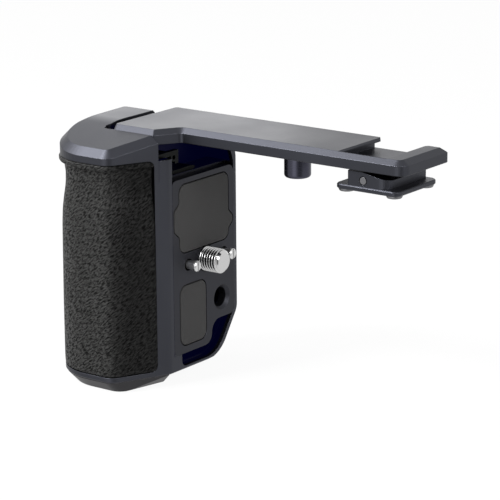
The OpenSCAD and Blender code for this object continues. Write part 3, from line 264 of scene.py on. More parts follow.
def newMaterial(name, roughness, metallic=0.0, **sockets):
    material = bpy.data.materials.new(name)
    material.use_nodes = True
    tree = material.node_tree
    shader = tree.nodes["Principled BSDF"]
    feed(tree, roughness, shader.inputs["Roughness"])
    feed(tree, metallic, shader.inputs["Metallic"])
    for key, value in sockets.items():
        feed(tree, value, shader.inputs[key.replace("_", " ")])
    place = addNode(tree, "ShaderNodeTexCoord").outputs["Object"]
    return material, tree, shader, place


def bumpInto(tree, shader, height, distance, strength=1.0, normal=None):
    bump = addNode(tree, "ShaderNodeBump")
    feed(tree, strength, bump.inputs["Strength"])
    feed(tree, distance, bump.inputs["Distance"])
    feed(tree, height, bump.inputs["Height"])
    if normal is not None:
        feed(tree, normal, bump.inputs["Normal"])
    feed(tree, bump.outputs["Normal"], shader.inputs["Normal"])


def cloudedTone(tree, blast, look):    # the look's colour, wandering between its two cloud tones
    dark, light = (shaded(look["colour"], share) for share in look["cloudTones"])
    return mixColour(tree, blast.outputs["Tone"], dark, light)


def insideMask(tree, place, boxes):    # 1 inside the boxes, easing to 0 over each one's soft edge
    axes = splitAxes(tree, place)
    masks = []
    for low, high, soft in boxes:
        walls = []
        for value, start, end in zip(axes, low, high):
            walls.append(mapRange(tree, value, start * mm, (start + soft) * mm))
            walls.append(mapRange(tree, value, end * mm, (end - soft) * mm))
        masks.append(combine(tree, "MULTIPLY", *walls))
    return combine(tree, "MAXIMUM", *masks)


anodisedLook = {
    "colour": (0.056, 0.058, 0.069),
    "wornAndHighlit": (0.20, 0.20, 0.23),
    "deep": (0.002, 0.002, 0.006),
    "glow": (0.0004, 0.0006, 0.0095),   # painted navy glow in the boxes of painted shade
    "roughness": (0.36, 0.46),
    "blastScale": 5200.0,
    "blastDepth": 0.000006,
    "cloudScale": 45.0,
    "cloudTones": (0.92, 1.08),         # shares of the colour
    "edgeRadius": 0.00016,
    "edgeAmount": 0.35,
    "hollows": [],
}
bodyLook = {
    **anodisedLook,
    "hollows": [                        # painted shade in the hollows and along the seam, mm: low corner, high corner, softness
        ((-9.2, -17.8, 23.2), (-0.9, 12.4, 40), 0.5),
        ((-9.2, -11.2, -27.0), (-0.9, 12.4, -23.0), 0.5),
        ((-9.2, 2.0, -24.0), (-0.9, 12.4, -15.0), 0.5),
        ((-19.0, -17.5, 20.0), (-16.0, 5.0, 35.6), 0.5),
        ((-2.6, -13.84, -23.3), (0.2, -13.54, 22.9), 0.08),      # painted shadow line along the seam beside the face plate
    ],
}
plateLook = {**anodisedLook, "colour": (0.046, 0.047, 0.055), "roughness": (0.42, 0.52)}
baseLook = {**anodisedLook, "colour": (0.056, 0.055, 0.058)}


def anodised(name, look):
    material, tree, shader, place = newMaterial(name, roughness=0.4, metallic=1.0)
    blast = placeGroup(tree, blastGroup, Vector=place, Grain=look["blastScale"], Cloud=look["cloudScale"])
    wearAndHighlight = placeGroup(tree, edgeGroup, Vector=place, Radius=look["edgeRadius"], Amount=look["edgeAmount"])
    colour = cloudedTone(tree, blast, look)
    # lighter edges: wear and painted highlight
    colour = mixColour(tree, wearAndHighlight.outputs["Mask"], colour, look["wornAndHighlit"])
    # painted shade: the boxes turn near-black, with a faint painted navy glow
    if look["hollows"]:
        paintedShadeMask = insideMask(tree, place, look["hollows"])
        colour = mixColour(tree, paintedShadeMask, colour, look["deep"])
        feed(tree, 1.0, shader.inputs["Emission Strength"])
        feed(tree, mixColour(tree, paintedShadeMask, (0, 0, 0), look["glow"]), shader.inputs["Emission Color"])
    feed(tree, colour, shader.inputs["Base Color"])
    feed(tree, mapRange(tree, blast.outputs["Tone"], 0, 1, *look["roughness"]), shader.inputs["Roughness"])
    bumpInto(tree, shader, blast.outputs["Height"], look["blastDepth"], normal=wearAndHighlight.outputs["Normal"])
    return material


bodyMetal = anodised("anodisedBody", bodyLook)
armMetal = anodised("anodisedArm", anodisedLook)
plateMetal = anodised("satinPlate", plateLook)
baseMetal = anodised("anodisedBase", baseLook)


turnedLook = {                          # what the turned metals share
    "pitch": 9000.0,                    # turning marks to the metre
    "depth": 0.000004,
    "shade": 0.85,                      # share of the colour left in the marks
    "markEdges": (0.3, 0.7),
    "spread": (0.8, 1.2),               # shares of the roughness
    "rubbedAndHighlit": (1.3, 0.02),              # worn edges with painted highlight: share of the colour, and a lift over it
    "edgeRadius": 0.0001,
    "edgeAmount": 0.4,
    "paintedGrooveShade": None,
}
turnedMetals = {
    "turnedPost": {"colour": (0.075, 0.075, 0.1), "roughness": 0.3, "axis": "Z", "pitch": 5000.0},
    "darkSteel": {"colour": (0.03, 0.03, 0.036), "roughness": 0.34, "axis": "X"},
    "blackScrew": {"colour": (0.035, 0.035, 0.038), "roughness": 0.36, "axis": "Z"},
    "boreSteel": {"colour": (0.01, 0.01, 0.04), "roughness": 0.34, "axis": "X"},
    "turnedBrass": {"colour": (0.62, 0.46, 0.2), "roughness": 0.28, "axis": "X"},
    "springWire": {"colour": (0.34, 0.34, 0.35), "roughness": 0.3, "axis": "Z"},
    "magnetNickel": {"colour": (0.66, 0.65, 0.62), "roughness": 0.22, "axis": "X"},
    "pinSteel": {"colour": (0.8, 0.8, 0.8), "roughness": 0.34, "axis": "X",
                 "pitch": 5200.0, "depth": 0.0000015, "shade": 0.96},
    "threadSteel": {"colour": (0.72, 0.72, 0.72), "roughness": 0.12, "axis": "X",
                    "pitch": 5200.0, "depth": 0.0000015, "shade": 0.96,
                    "paintedGrooveShade": {"root": 0.00262, "crest": 0.00312, "tone": (0.03, 0.03, 0.03), "end": 0.005}},
    "dullSteel": {"colour": (0.22, 0.22, 0.23), "roughness": 0.34, "axis": "Y", "pitch": 7000.0},
}


def paintedRootShade(tree, axes, paintedGrooveShade, tone):      # painted shade at the thread's roots, round the x axis
    across = addNode(tree, "ShaderNodeCombineXYZ")
    feed(tree, axes["Y"], across.inputs["Y"])
    feed(tree, axes["Z"], across.inputs["Z"])
    far = addNode(tree, "ShaderNodeVectorMath", operation="LENGTH")
    feed(tree, across.outputs[0], far.inputs[0])
    pastThread = combine(tree, "GREATER_THAN", axes["X"], paintedGrooveShade["end"])
    nearCrest = mapRange(tree, far.outputs["Value"], paintedGrooveShade["root"], paintedGrooveShade["crest"])
    return mixColour(tree, combine(tree, "MAXIMUM", pastThread, nearCrest), paintedGrooveShade["tone"], tone)


def turnedMetal(name, look):
    colour, roughness = look["colour"], look["roughness"]
    material, tree, shader, place = newMaterial(name, roughness, metallic=1.0)
    axes = splitAxes(tree, place)
    marks = placeGroup(tree, turningGroup, Along=axes[look["axis"]], Pitch=look["pitch"]).outputs["Height"]
    wearAndHighlight = placeGroup(tree, edgeGroup, Vector=place, Radius=look["edgeRadius"], Amount=look["edgeAmount"])
    tone = mixColour(tree, marks, shaded(colour, look["shade"]), colour)
    # painted shade in the thread's roots
    if look["paintedGrooveShade"]:
        tone = paintedRootShade(tree, axes, look["paintedGrooveShade"], tone)
    share, lift = look["rubbedAndHighlit"]
    # lighter edges: wear and painted highlight
    rubbedAndHighlit = tuple(min(1, c * share + lift) for c in colour)
    feed(tree, mixColour(tree, wearAndHighlight.outputs["Mask"], tone, rubbedAndHighlit), shader.inputs["Base Color"])
    smoother, rougher = (roughness * share for share in look["spread"])
    feed(tree, mapRange(tree, marks, *look["markEdges"], smoother, rougher), shader.inputs["Roughness"])
    bumpInto(tree, shader, marks, look["depth"], normal=wearAndHighlight.outputs["Normal"])
    return material


turned = {name: turnedMetal(name, {**turnedLook, **look}) for name, look in turnedMetals.items()}


toolLook = {
    "colour": (0.0075, 0.0082, 0.0078),
    "bareAndHighlit": (0.10, 0.11, 0.10),
    "cloudTones": (0.75, 1.3),
    "roughness": (0.26, 0.42),
    "grainScale": 2600.0,
    "cloudScale": 260.0,
    "grainDepth": 0.00001,
    "grainStrength": 0.6,
    "edgeRadius": 0.00012,
    "edgeAmount": 0.9,
}


def makeToolMetal(look):
    material, tree, shader, place = newMaterial("toolSteel", roughness=0.34, metallic=1.0)
    blast = placeGroup(tree, blastGroup, Vector=place, Grain=look["grainScale"], Cloud=look["cloudScale"])
    wearAndHighlight = placeGroup(tree, edgeGroup, Vector=place, Radius=look["edgeRadius"], Amount=look["edgeAmount"])
    tone = cloudedTone(tree, blast, look)
    # lighter edges: wear and painted highlight
    feed(tree, mixColour(tree, wearAndHighlight.outputs["Mask"], tone, look["bareAndHighlit"]), shader.inputs["Base Color"])
    feed(tree, mapRange(tree, blast.outputs["Tone"], 0, 1, *look["roughness"]), shader.inputs["Roughness"])
    depth, strength = look["grainDepth"], look["grainStrength"]
    bumpInto(tree, shader, blast.outputs["Height"], depth, strength, wearAndHighlight.outputs["Normal"])
    return material


toolMetal = makeToolMetal(toolLook)


rubberLook = {
    "colour": (0.032, 0.0315, 0.0315),
    "lint": (0.09, 0.09, 0.09),
    "cloudTones": (0.94, 1.05),
    "roughness": (0.66, 0.8),
    "grainScale": 3800.0,
    "cloudScale": 120.0,
    "grainDepth": 0.00002,
    "grainStrength": 0.5,
    "dustAmount": 0.12,
}


def makePadRubber(look):
    material, tree, shader, place = newMaterial("padRubber", roughness=0.72, Specular_IOR_Level=0.3)
    blast = placeGroup(tree, blastGroup, Vector=place, Grain=look["grainScale"], Cloud=look["cloudScale"])
    dust = placeGroup(tree, dustGroup, Vector=place, Amount=look["dustAmount"])
    tone = cloudedTone(tree, blast, look)
    feed(tree, mixColour(tree, dust.outputs["Mask"], tone, look["lint"]), shader.inputs["Base Color"])
    feed(tree, mapRange(tree, blast.outputs["Tone"], 0, 1, *look["roughness"]), shader.inputs["Roughness"])
    bumpInto(tree, shader, blast.outputs["Height"], look["grainDepth"], look["grainStrength"])
    return material


padRubber = makePadRubber(rubberLook)


leatherLook = {
    "colour": (0.0085, 0.0085, 0.0085),
    "colourShare": 0.2,                 # of the plain colour over crease and crown
    "paintedCreaseShade": (0.0025, 0.0025, 0.0025),
    "crown": (0.029, 0.029, 0.028),
    "crownHeight": (0.2, 0.75),
    "dull": (-0.0095, -0.0045),         # x where the shade toward the plate starts and ends
    "dullShare": 0.4,                   # tone left there
    "grain": (0.31, 1.15),              # mm: across and along a ridge
    "lean": 34,                         # degrees that the ridges lean from level
    "bendScale": 2.4,
    "bend": 0.028,                      # cm that the ridges wander
    "scatter": 0.85,
    "cellEdge": 0.42,
    "ridgeScale": 0.95,
    "ridgeEdges": (0.22, 0.72),
    "ridgeTwist": 0.5,
    "poreScale": 5200,
    "shares": {"cell": 0.25, "ridge": 0.65, "pore": 0.06},     # of the height
    "depth": 0.0003,
    "roughness": (0.75, 0.46),          # crease and crown
    "specular": 0.05,
    "sheen": 0.6,
    "sheenRoughness": 0.42,
    "dust": (0.1, 0.1, 0.1),
    "dustAmount": 0.1,
}


def grainDirections(tree, look):       # the skin's own map, bent, leaned and stretched to one ridge per unit
    flat = addNode(tree, "ShaderNodeUVMap", uv_map="leatherMap").outputs["UV"]      # cm along the skin and up
    bend = noiseNode(tree, flat, look["bendScale"], detail=1, dimensions="2D")
    shift = addNode(tree, "ShaderNodeVectorMath", operation="MULTIPLY_ADD")
    feed(tree, bend.outputs["Color"], shift.inputs[0])
    feed(tree, (look["bend"],) * 3, shift.inputs[1])
    feed(tree, flat, shift.inputs[2])
    turn = addNode(tree, "ShaderNodeMapping")
    feed(tree, (0, 0, math.radians(look["lean"])), turn.inputs["Rotation"])
    feed(tree, shift.outputs[0], turn.inputs["Vector"])
    across, along = look["grain"]
    stretch = addNode(tree, "ShaderNodeMapping")
    feed(tree, (10 / along, 10 / across, 1), stretch.inputs["Scale"])
    feed(tree, turn.outputs[0], stretch.inputs["Vector"])
    return stretch.outputs[0]


def grainHeight(tree, place, look):
    flat = grainDirections(tree, look)
    cells = addNode(tree, "ShaderNodeTexVoronoi", voronoi_dimensions="2D", feature="DISTANCE_TO_EDGE")
    feed(tree, 1, cells.inputs["Scale"])
    feed(tree, look["scatter"], cells.inputs["Randomness"])
    feed(tree, flat, cells.inputs["Vector"])
    fold = noiseNode(tree, flat, look["ridgeScale"], detail=1, dimensions="2D", Distortion=look["ridgeTwist"])
    pores = noiseNode(tree, place, look["poreScale"])
    shares = look["shares"]
    cell = mapRange(tree, cells.outputs["Distance"], 0.0, look["cellEdge"], smooth=True)
    ridge = mapRange(tree, fold.outputs["Fac"], *look["ridgeEdges"], smooth=True)
    return combine(
        tree, "ADD",
        combine(tree, "MULTIPLY", cell, shares["cell"]),
        combine(tree, "MULTIPLY", ridge, shares["ridge"]),
        combine(tree, "MULTIPLY", pores.outputs["Fac"], shares["pore"]),
    )


def makeLeather(look):
    material, tree, shader, place = newMaterial(
        "pebbledLeather", roughness=0.5,
        Specular_IOR_Level=look["specular"], Coat_Roughness=look["sheenRoughness"],
    )
    height = grainHeight(tree, place, look)
    crown = mapRange(tree, height, *look["crownHeight"])
    # painted shade in the creases and painted highlight on the crowns
    tone = mixColour(tree, crown, look["paintedCreaseShade"], look["crown"])
    tone = mixColour(tree, look["colourShare"], tone, look["colour"])
    toPlate = splitAxes(tree, place)["X"]
    shade = mapRange(tree, toPlate, *look["dull"], 1.0, look["dullShare"], smooth=True)
    tone = mixColour(tree, shade, (0, 0, 0), tone)
    dust = placeGroup(tree, dustGroup, Vector=place, Amount=look["dustAmount"])
    feed(tree, mixColour(tree, dust.outputs["Mask"], tone, look["dust"]), shader.inputs["Base Color"])
    feed(tree, combine(tree, "MULTIPLY", crown, look["sheen"], shade), shader.inputs["Coat Weight"])
    feed(tree, mapRange(tree, crown, 0, 1, *look["roughness"]), shader.inputs["Roughness"])
    bumpInto(tree, shader, height, look["depth"])
    return material


leather = makeLeather(leatherLook)
print("stage: materials")


# outlines in the way of the part's source: corners with radii

def unit(v):
    return v / v.length


def roundedOutline(corners):           # each corner is x, y, radius and steps round it
    points = []
    for i, (x, y, radius, steps) in enumerate(corners):
        corner = Vector((x, y))
        if radius == 0:
            points.append(corner)
            continue
        before = unit(Vector(corners[i - 1][:2]) - corner)
        after = unit(Vector(corners[(i + 1) % len(corners)][:2]) - corner)
        half = math.acos(max(-1, min(1, before.dot(after)))) / 2
        centre = corner + unit(before + after) * radius / math.sin(half)
        first = corner + before * radius / math.tan(half) - centre
        last = corner + after * radius / math.tan(half) - centre
        start = math.atan2(first.y, first.x)
        sweep = (math.atan2(last.y, last.x) - start + math.pi) % (2 * math.pi) - math.pi
        for k in range(steps + 1):
            t = start + sweep * k / steps
            points.append(centre + radius * Vector((math.cos(t), math.sin(t))))
    return points


def insetCorners(corners, distance):
    smallest = 0.05
    moved = []
    for i, (x, y, radius, steps) in enumerate(corners):
        corner = Vector((x, y))
        before = unit(corner - Vector(corners[i - 1][:2]))
        after = unit(Vector(corners[(i + 1) % len(corners)][:2]) - corner)
        cross = before.x * after.y - before.y * after.x
        shift = (after - before) * distance / cross
        grown = max(radius + (-distance if cross > 0 else distance), smallest)
        moved.append((corner.x + shift.x, corner.y + shift.y, 0 if radius == 0 else grown, steps))
    return moved


def newPiece(name, vertices, faces, material, body, replaced):       # vertices in mm
    mesh = bpy.data.meshes.new(name)
    mesh.from_pydata([tuple(c * mm for c in v) for v in vertices], [], faces)
    mesh.validate()
    piece = bpy.data.objects.new(name, mesh)
    scene.collection.objects.link(piece)
    mesh.shade_smooth()
    mesh.materials.append(material)
    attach(piece, body)
    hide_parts(replaced)
    return piece


def bandFaces(a, b, n):                # between two rings of n points, given by their first points
    return [(a + i, b + i, b + (i + 1) % n, a + (i + 1) % n) for i in range(n)]


def outward(piece):
    work = bmesh.new()
    work.from_mesh(piece.data)
    bmesh.ops.recalc_face_normals(work, faces=work.faces)
    work.to_mesh(piece.data)
    work.free()


def splitAt(piece, degrees):
    cut = piece.modifiers.new("crispEdges", "EDGE_SPLIT")
    cut.split_angle = math.radians(degrees)


# leather wrap

wrapSetup = {                           # mm
    "corners": [(-30, -30.5, 14, 48), (-7.5, -30.5, 3.5, 12), (0, -15.42, 3, 8), (0, 4.2, 3, 8),
                (-30, 4.2, 3, 10)],
    "edgeX": 1.45, "edgeY": 18.75,      # inner edge on the slanted wall
    "endX": 20.5,                       # other end, on the back wall
    "low": -26.05, "high": 29.05,
    "cornerRadius": 1.7,
    "endCorner": 0.4,                   # share of that radius at the hidden end
    "back": 1.95,                       # depth of the hidden side
    "roll": 0.3,                        # rounding of the leather's rim
    "step": 0.38,
    "crowding": 0.12,                   # closer rows near both rims
    "reach": 0.35,                      # along the path, to even out its normals
    "slack": 0.05,                      # between the ring's own points and the path's two ends
    "rows": [(-26.05, -0.1), (-25.8, 0), (-23.49, 0.1), (-11.75, 0.1), (0, 0), (10.58, -0.12), (14.57, -0.3),
             (17.86, -0.68), (20.68, -1.12), (22.56, -1.28), (24.44, -1.3), (25.85, -1.15), (26.9, -0.98),
             (27.3, -0.82), (27.55, -0.25), (27.75, 0.15), (28.2, 0.3), (28.7, 0.3), (29.05, 0.1)],
    "crisp": 50,                        # degrees
}


def softCurve(rows, z):                # a smooth curve through the rows that never overshoots them
    heights = [r[0] for r in rows]
    if z <= heights[0]:
        return rows[0][1]
    if z > heights[-1]:
        return rows[-1][1]
    i = next(k for k in range(len(rows) - 1) if z <= heights[k + 1])
    step = heights[i + 1] - heights[i]
    t = (z - heights[i]) / step

    def slope(k):
        if k == 0 or k == len(rows) - 1:
            return 0
        a = (rows[k][1] - rows[k - 1][1]) / (heights[k] - heights[k - 1])
        b = (rows[k + 1][1] - rows[k][1]) / (heights[k + 1] - heights[k])
        return 0 if a * b <= 0 else 2 * a * b / (a + b)

    leave, arrive = slope(i) * step, slope(i + 1) * step
    return ((2 * t ** 3 - 3 * t ** 2 + 1) * rows[i][1] + (t ** 3 - 2 * t ** 2 + t) * leave
            + (-2 * t ** 3 + 3 * t ** 2) * rows[i + 1][1] + (t ** 3 - t ** 2) * arrive)


def wrapPath(setup):                   # from the slanted wall round the nose, front and left side to the back
    ring = roundedOutline(setup["corners"])
    slantTop = Vector(setup["corners"][2][:2])
    backY = setup["corners"][3][1]
    first = min(range(len(ring)), key=lambda i: (ring[i] - slantTop).length)
    path = [Vector((-setup["edgeX"], -setup["edgeY"]))]
    for k in range(len(ring) + 1):
        p = ring[first - k]
        if len(path) == 1 and p.y >= -setup["edgeY"] - setup["slack"]:      # on the bare part of the wall
            continue
        if p.y > backY - setup["slack"] and p.x > -setup["endX"]:           # past the hidden end
            break
        path.append(p)
    path.append(Vector((-setup["endX"], backY)))
    lengths = [(b - a).length for a, b in zip(path, path[1:])]
    total = sum(lengths)

    def pointAt(s):
        s = max(0.0, min(total, s))
        for a, b, length in zip(path, path[1:], lengths):
            if s <= length and length > 0:
                return a + unit(b - a) * s
            s -= length
        return path[-1]

    def placeAt(s):                    # point and outward normal: the path runs clockwise seen from above
        tangent = unit(pointAt(s + setup["reach"]) - pointAt(s - setup["reach"]))
        return pointAt(s), Vector((-tangent.y, tangent.x))

    return placeAt, total


def quarterRound(distance, radius):    # how far a rounded edge falls away, this far in from it
    if distance >= radius:
        return 0
    return radius - math.sqrt(max(0, radius ** 2 - (radius - distance) ** 2))


def makeLeatherWrap(setup):
    placeAt, total = wrapPath(setup)
    low, high, radius = setup["low"], setup["high"], setup["cornerRadius"]
    columns = round(total / setup["step"])
    rowCount = round((high - low) / setup["step"])

    def eased(t):
        return t - setup["crowding"] * math.sin(2 * math.pi * t) / (2 * math.pi)

    def surfacePoint(u, v, extra):
        z = low + (high - low) * eased(v)
        toRim = min(z - low, high - z)
        first = quarterRound(toRim, radius)
        last = total - quarterRound(toRim, radius * setup["endCorner"])
        s = first + (last - first) * eased(u)
        rim = min(s - first, last - s, toRim)
        if toRim < radius and s < radius:          # distance to the rounded corner itself
            rim = min(rim, radius - math.hypot(radius - s, radius - toRim))
        p, normal = placeAt(s)
        q = p + normal * (softCurve(setup["rows"], z) - quarterRound(max(rim, 0), setup["roll"]) - extra)
        return (q.x, q.y, z), (s / 10, z / 10)

    vertices, uvs, faces = [], [], []
    for j in range(rowCount + 1):
        for i in range(columns + 1):
            point, uv = surfacePoint(i / columns, j / rowCount, 0)
            vertices.append(point)
            uvs.append(uv)
    width = columns + 1
    top = rowCount * width
    for j in range(rowCount):
        for i in range(columns):
            a = j * width + i
            faces.append((a, a + 1, a + width + 1, a + width))
    rimLoop = list(range(width))
    rimLoop += [j * width + columns for j in range(1, rowCount + 1)]
    rimLoop += [top + i for i in range(columns - 1, -1, -1)]
    rimLoop += [j * width for j in range(rowCount - 1, 0, -1)]
    hidden = {}                            # rim point to the point behind it
    for index in rimLoop:
        i, j = index % width, index // width
        point, uv = surfacePoint(i / columns, j / rowCount, setup["back"] - setup["roll"])
        hidden[index] = len(vertices)
        vertices.append(point)
        uvs.append(uv)
    for a, b in zip(rimLoop, rimLoop[1:] + rimLoop[:1]):
        faces.append((b, a, hidden[a], hidden[b]))
    for i in range(columns):               # hidden side: straight strips from the lower rim to the upper one
        faces.append((hidden[i + 1], hidden[i], hidden[top + i], hidden[top + i + 1]))
    faces.append(tuple(hidden[j * width] for j in range(rowCount + 1)))
    faces.append(tuple(hidden[j * width + columns] for j in range(rowCount, -1, -1)))
    piece = newPiece("leatherWrap", vertices, faces, leather, "grip", "leather_wrap")
    layer = piece.data.uv_layers.new(name="leatherMap")
    for loop in piece.data.loops:
        layer.data[loop.index].uv = uvs[loop.vertex_index]
    outward(piece)
    return piece


wrap = makeLeatherWrap(wrapSetup)
print("stage: leather wrap,", len(wrap.data.vertices), "points")


openingSetup = {"radius": 5.2, "x": -29, "depth": 12, "sides": 64}       # mm, for the screw's driver


def cutOpening(piece, setup):
    work = bmesh.new()
    radius, depth = setup["radius"] * mm, setup["depth"] * mm
    bmesh.ops.create_cone(
        work, cap_ends=True, segments=setup["sides"], radius1=radius, radius2=radius, depth=depth)
    mesh = bpy.data.meshes.new("openingCutter")
    work.to_mesh(mesh)
    work.free()
    cutter = bpy.data.objects.new("openingCutter", mesh)
    place = Matrix.Translation((setup["x"] * mm, 0, 0))
    cutter.matrix_world = place @ Matrix.Rotation(math.pi / 2, 4, "Y")
    scene.collection.objects.link(cutter)
    change = piece.modifiers.new("opening", "BOOLEAN")
    change.operation, change.solver, change.object = "DIFFERENCE", "EXACT", cutter
    bpy.context.view_layer.update()
    done = bpy.data.meshes.new_from_object(piece.evaluated_get(bpy.context.evaluated_depsgraph_get()))
    piece.modifiers.clear()
    piece.data = done
    bpy.data.objects.remove(cutter)


cutOpening(wrap, openingSetup)
splitAt(wrap, wrapSetup["crisp"])


# pads on the face plate

padSetup = {                            # mm: corners in y and z, levels as x and inset
    "upper": [(-10.9, 3.5, 2.3, 10), (9.5, 3.5, 2.3, 10), (9.5, 6.2, 0, 2), (11.3, 7.8, 1.4, 6),
              (11.3, 9.3, 1.4, 6), (9.5, 10.9, 1.4, 6), (9.5, 21.3, 2.3, 10), (-10.9, 21.3, 2.3, 10),
              (-10.9, 16.6, 1.4, 6), (-13.0, 15.0, 1.4, 6), (-13.0, 9.5, 1.4, 6), (-10.9, 7.9, 1.4, 6)],
    "lower": [(-11, -21.1, 2.3, 10), (-0.4, -21.1, 2.3, 10), (-0.4, -5.3, 2.3, 10), (-11, -5.3, 2.3, 10)],
    "levels": [(-0.78, 0.02), (-0.08, 0.0), (0.02, 0.02), (0.07, 0.08), (0.105, 0.18), (0.118, 0.32)],
    "crisp": 40,                        # degrees
}


def makePad(name, corners, replaced):
    vertices, faces = [], []
    levels = padSetup["levels"]
    rings = [roundedOutline(insetCorners(corners, inset)) for _, inset in levels]
    n = len(rings[0])
    for (x, _), ring in zip(levels, rings):
        vertices += [(x, p.x, p.y) for p in ring]
    for k in range(len(rings) - 1):
        faces += bandFaces(k * n, (k + 1) * n, n)
    faces.append(tuple(reversed(range(n))))
    faces.append(tuple((len(rings) - 1) * n + i for i in range(n)))
    pad = newPiece(name, vertices, faces, padRubber, "grip", replaced)
    outward(pad)
    splitAt(pad, padSetup["crisp"])


makePad("upperPad", padSetup["upper"], "upper_pad")
makePad("lowerPad", padSetup["lower"], "lower_pad")
print("stage: pads")


# mount screw with its thread

screwSetup = {                          # mm
    "crest": 3.175, "root": 2.62, "pitch": 0.8,
    "rise": (0.1, 0.82),                # shares of half the pitch where the flank starts and ends
    "threadFrom": 0.1, "fade": 0.4,     # where the thread begins, and over what length
    "chamferFrom": 5.0, "tip": 5.75, "tipRadius": 2.425, "tipFlat": 2.075,
    "shank": 2.775, "shoulder": 6.95, "neck": 2.6, "neckEnd": 8.55, "head": 4.4, "headEnd": 12.55,
    "headChamfer": 0.35,
    "socket": 2.3, "socketDepth": 2.5,  # radius at the hexagon's corners
    "begin": 0.01,                      # first of the thread's rings
    "around": 96, "fine": 0.045,        # points to a ring, and from ring to ring
    "crisp": 32,                        # degrees
}


def clamped(value):
    return max(0, min(1, value))


def threadRadius(s, x, t):             # at x along the screw and t round it
    phase = (x / s["pitch"] - t / (2 * math.pi)) % 1
    start, end = s["rise"]
    lift = clamped((1 - abs(2 * phase - 1) - start) / (end - start))       # 0 at the root, 1 at the crest
    fade = clamped((x - s["threadFrom"]) / s["fade"])
    radius = s["root"] + (s["crest"] - s["root"]) * (1 - (1 - lift) * fade)
    chamfer = clamped((x - s["chamferFrom"]) / (s["tip"] - s["chamferFrom"]))
    return min(radius, s["crest"] + (s["tipRadius"] - s["crest"]) * chamfer)


def hexRadius(corner, t):              # of a hex socket, at t round it
    sixth = math.pi / 6
    return corner * math.cos(sixth) / math.cos((t + sixth) % (2 * sixth) - sixth)


def makeMountScrew(s):
    n = s["around"]
    vertices, faces = [], []

    def ring(x, radiusAt):
        start = len(vertices)
        for i in range(n):
            t = 2 * math.pi * i / n
            r = radiusAt(t)
            vertices.append((x, r * math.cos(t), r * math.sin(t)))
        return start

    def roundRing(x, radius):
        return ring(x, lambda t: radius)

    def threadRing(x):
        return ring(x, lambda t: threadRadius(s, x, t))

    def socketRing(x):
        return ring(x, lambda t: hexRadius(s["socket"], t))

    turnedShape = [(-s["headEnd"], s["head"] - s["headChamfer"]),
                   (-s["headEnd"] + s["headChamfer"], s["head"]), (-s["neckEnd"], s["head"]),
                   (-s["neckEnd"], s["neck"]), (-s["shoulder"], s["neck"]), (-s["shoulder"], s["shank"]),
                   (0.0, s["shank"])]
    rings = [roundRing(x, radius) for x, radius in turnedShape]
    count = int((s["tip"] - s["begin"]) / s["fine"])
    rings += [threadRing(s["begin"] + (s["tip"] - s["begin"]) * k / count) for k in range(count + 1)]
    rings.append(roundRing(s["tip"], s["tipFlat"]))
    for a, b in zip(rings, rings[1:]):
        faces += bandFaces(a, b, n)
    faces.append(tuple(rings[-1] + i for i in range(n)))
    mouth = socketRing(-s["headEnd"])
    bottom = socketRing(-s["headEnd"] + s["socketDepth"])
    faces += bandFaces(bottom, mouth, n) + bandFaces(mouth, rings[0], n)
    faces.append(tuple(bottom + i for i in range(n)))
    screw = newPiece(
        "mountScrew", vertices, faces, turned["threadSteel"], "screw", "mount_screw")
    outward(screw)
    splitAt(screw, s["crisp"])


makeMountScrew(screwSetup)
print("stage: mount screw")


# coil in place of the tilt spring's sleeve

coilSetup = {                           # mm
    "centre": (60, -0.95), "low": 29.07, "high": 32.61, "radius": 0.9, "wire": 0.18,
    "turns": 5, "flatTurn": 0.08,       # share of the turns that lies flat at each end
    "steps": 20, "sides": 8,
}


def makeCoil(c):
    vertices, faces = [], []
    count, n = c["turns"] * c["steps"], c["sides"]
    low, high = c["low"] + c["wire"], c["high"] - c["wire"]
    for k in range(count + 1):
        t = 2 * math.pi * k / c["steps"]
        rise = clamped((k / count - c["flatTurn"]) / (1 - 2 * c["flatTurn"]))
        out = Vector((math.cos(t), math.sin(t), 0))
        middle = Vector((*c["centre"], low + (high - low) * rise)) + out * c["radius"]
        for i in range(n):
            a = 2 * math.pi * i / n
            lift = Vector((0, 0, c["wire"] * math.sin(a)))
            vertices.append(tuple(middle + out * c["wire"] * math.cos(a) + lift))
    for k in range(count):
        faces += bandFaces(k * n, (k + 1) * n, n)
    faces.append(tuple(range(n)))
    faces.append(tuple(count * n + i for i in reversed(range(n))))
    coil = newPiece(
        "tiltSpring", vertices, faces, turned["springWire"], "grip", "tilt_spring")
    outward(coil)
    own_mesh(coil)


makeCoil(coilSetup)
print("stage: tilt spring")


# finishes on the carried-over solids

finishes = {
    "grip_body": bodyMetal, "base_plate": baseMetal, "arm": armMetal, "shoe_block": armMetal,
    "shoe_plate": armMetal, "face_plate": plateMetal, "arm_post": turned["turnedPost"],
    "thread_bush": turned["boreSteel"], "retaining_ring": turned["darkSteel"],
    "plate_screws": turned["blackScrew"], "base_screws": turned["blackScrew"],
    "arm_screws": turned["blackScrew"], "post_screw": turned["blackScrew"],
    "shoe_screws": turned["blackScrew"], "pin_bushes": turned["turnedBrass"],
    "screw_collar": turned["turnedBrass"], "pin_springs": turned["springWire"],
    "tool_magnets": turned["magnetNickel"], "left_pin": turned["pinSteel"], "right_pin": turned["pinSteel"],
    "tilt_pin": turned["dullSteel"], "corner_studs": turned["dullSteel"],
    "hex_key": toolMetal, "flat_driver": toolMetal,
}
dressing = {"weld": 0.000002, "crisp": 28}       # m and degrees


def dress(name, material):
    piece = nodes[name]
    piece.data.materials.clear()
    piece.data.materials.append(material)
    weld = piece.modifiers.new("weld", "WELD")
    weld.merge_threshold = dressing["weld"]
    splitAt(piece, dressing["crisp"])
    piece.modifiers.new("evenShade", "WEIGHTED_NORMAL").keep_sharp = True


for name, material in finishes.items():
    dress(name, material)
print("stage: finishes")


# floor, world and lamps

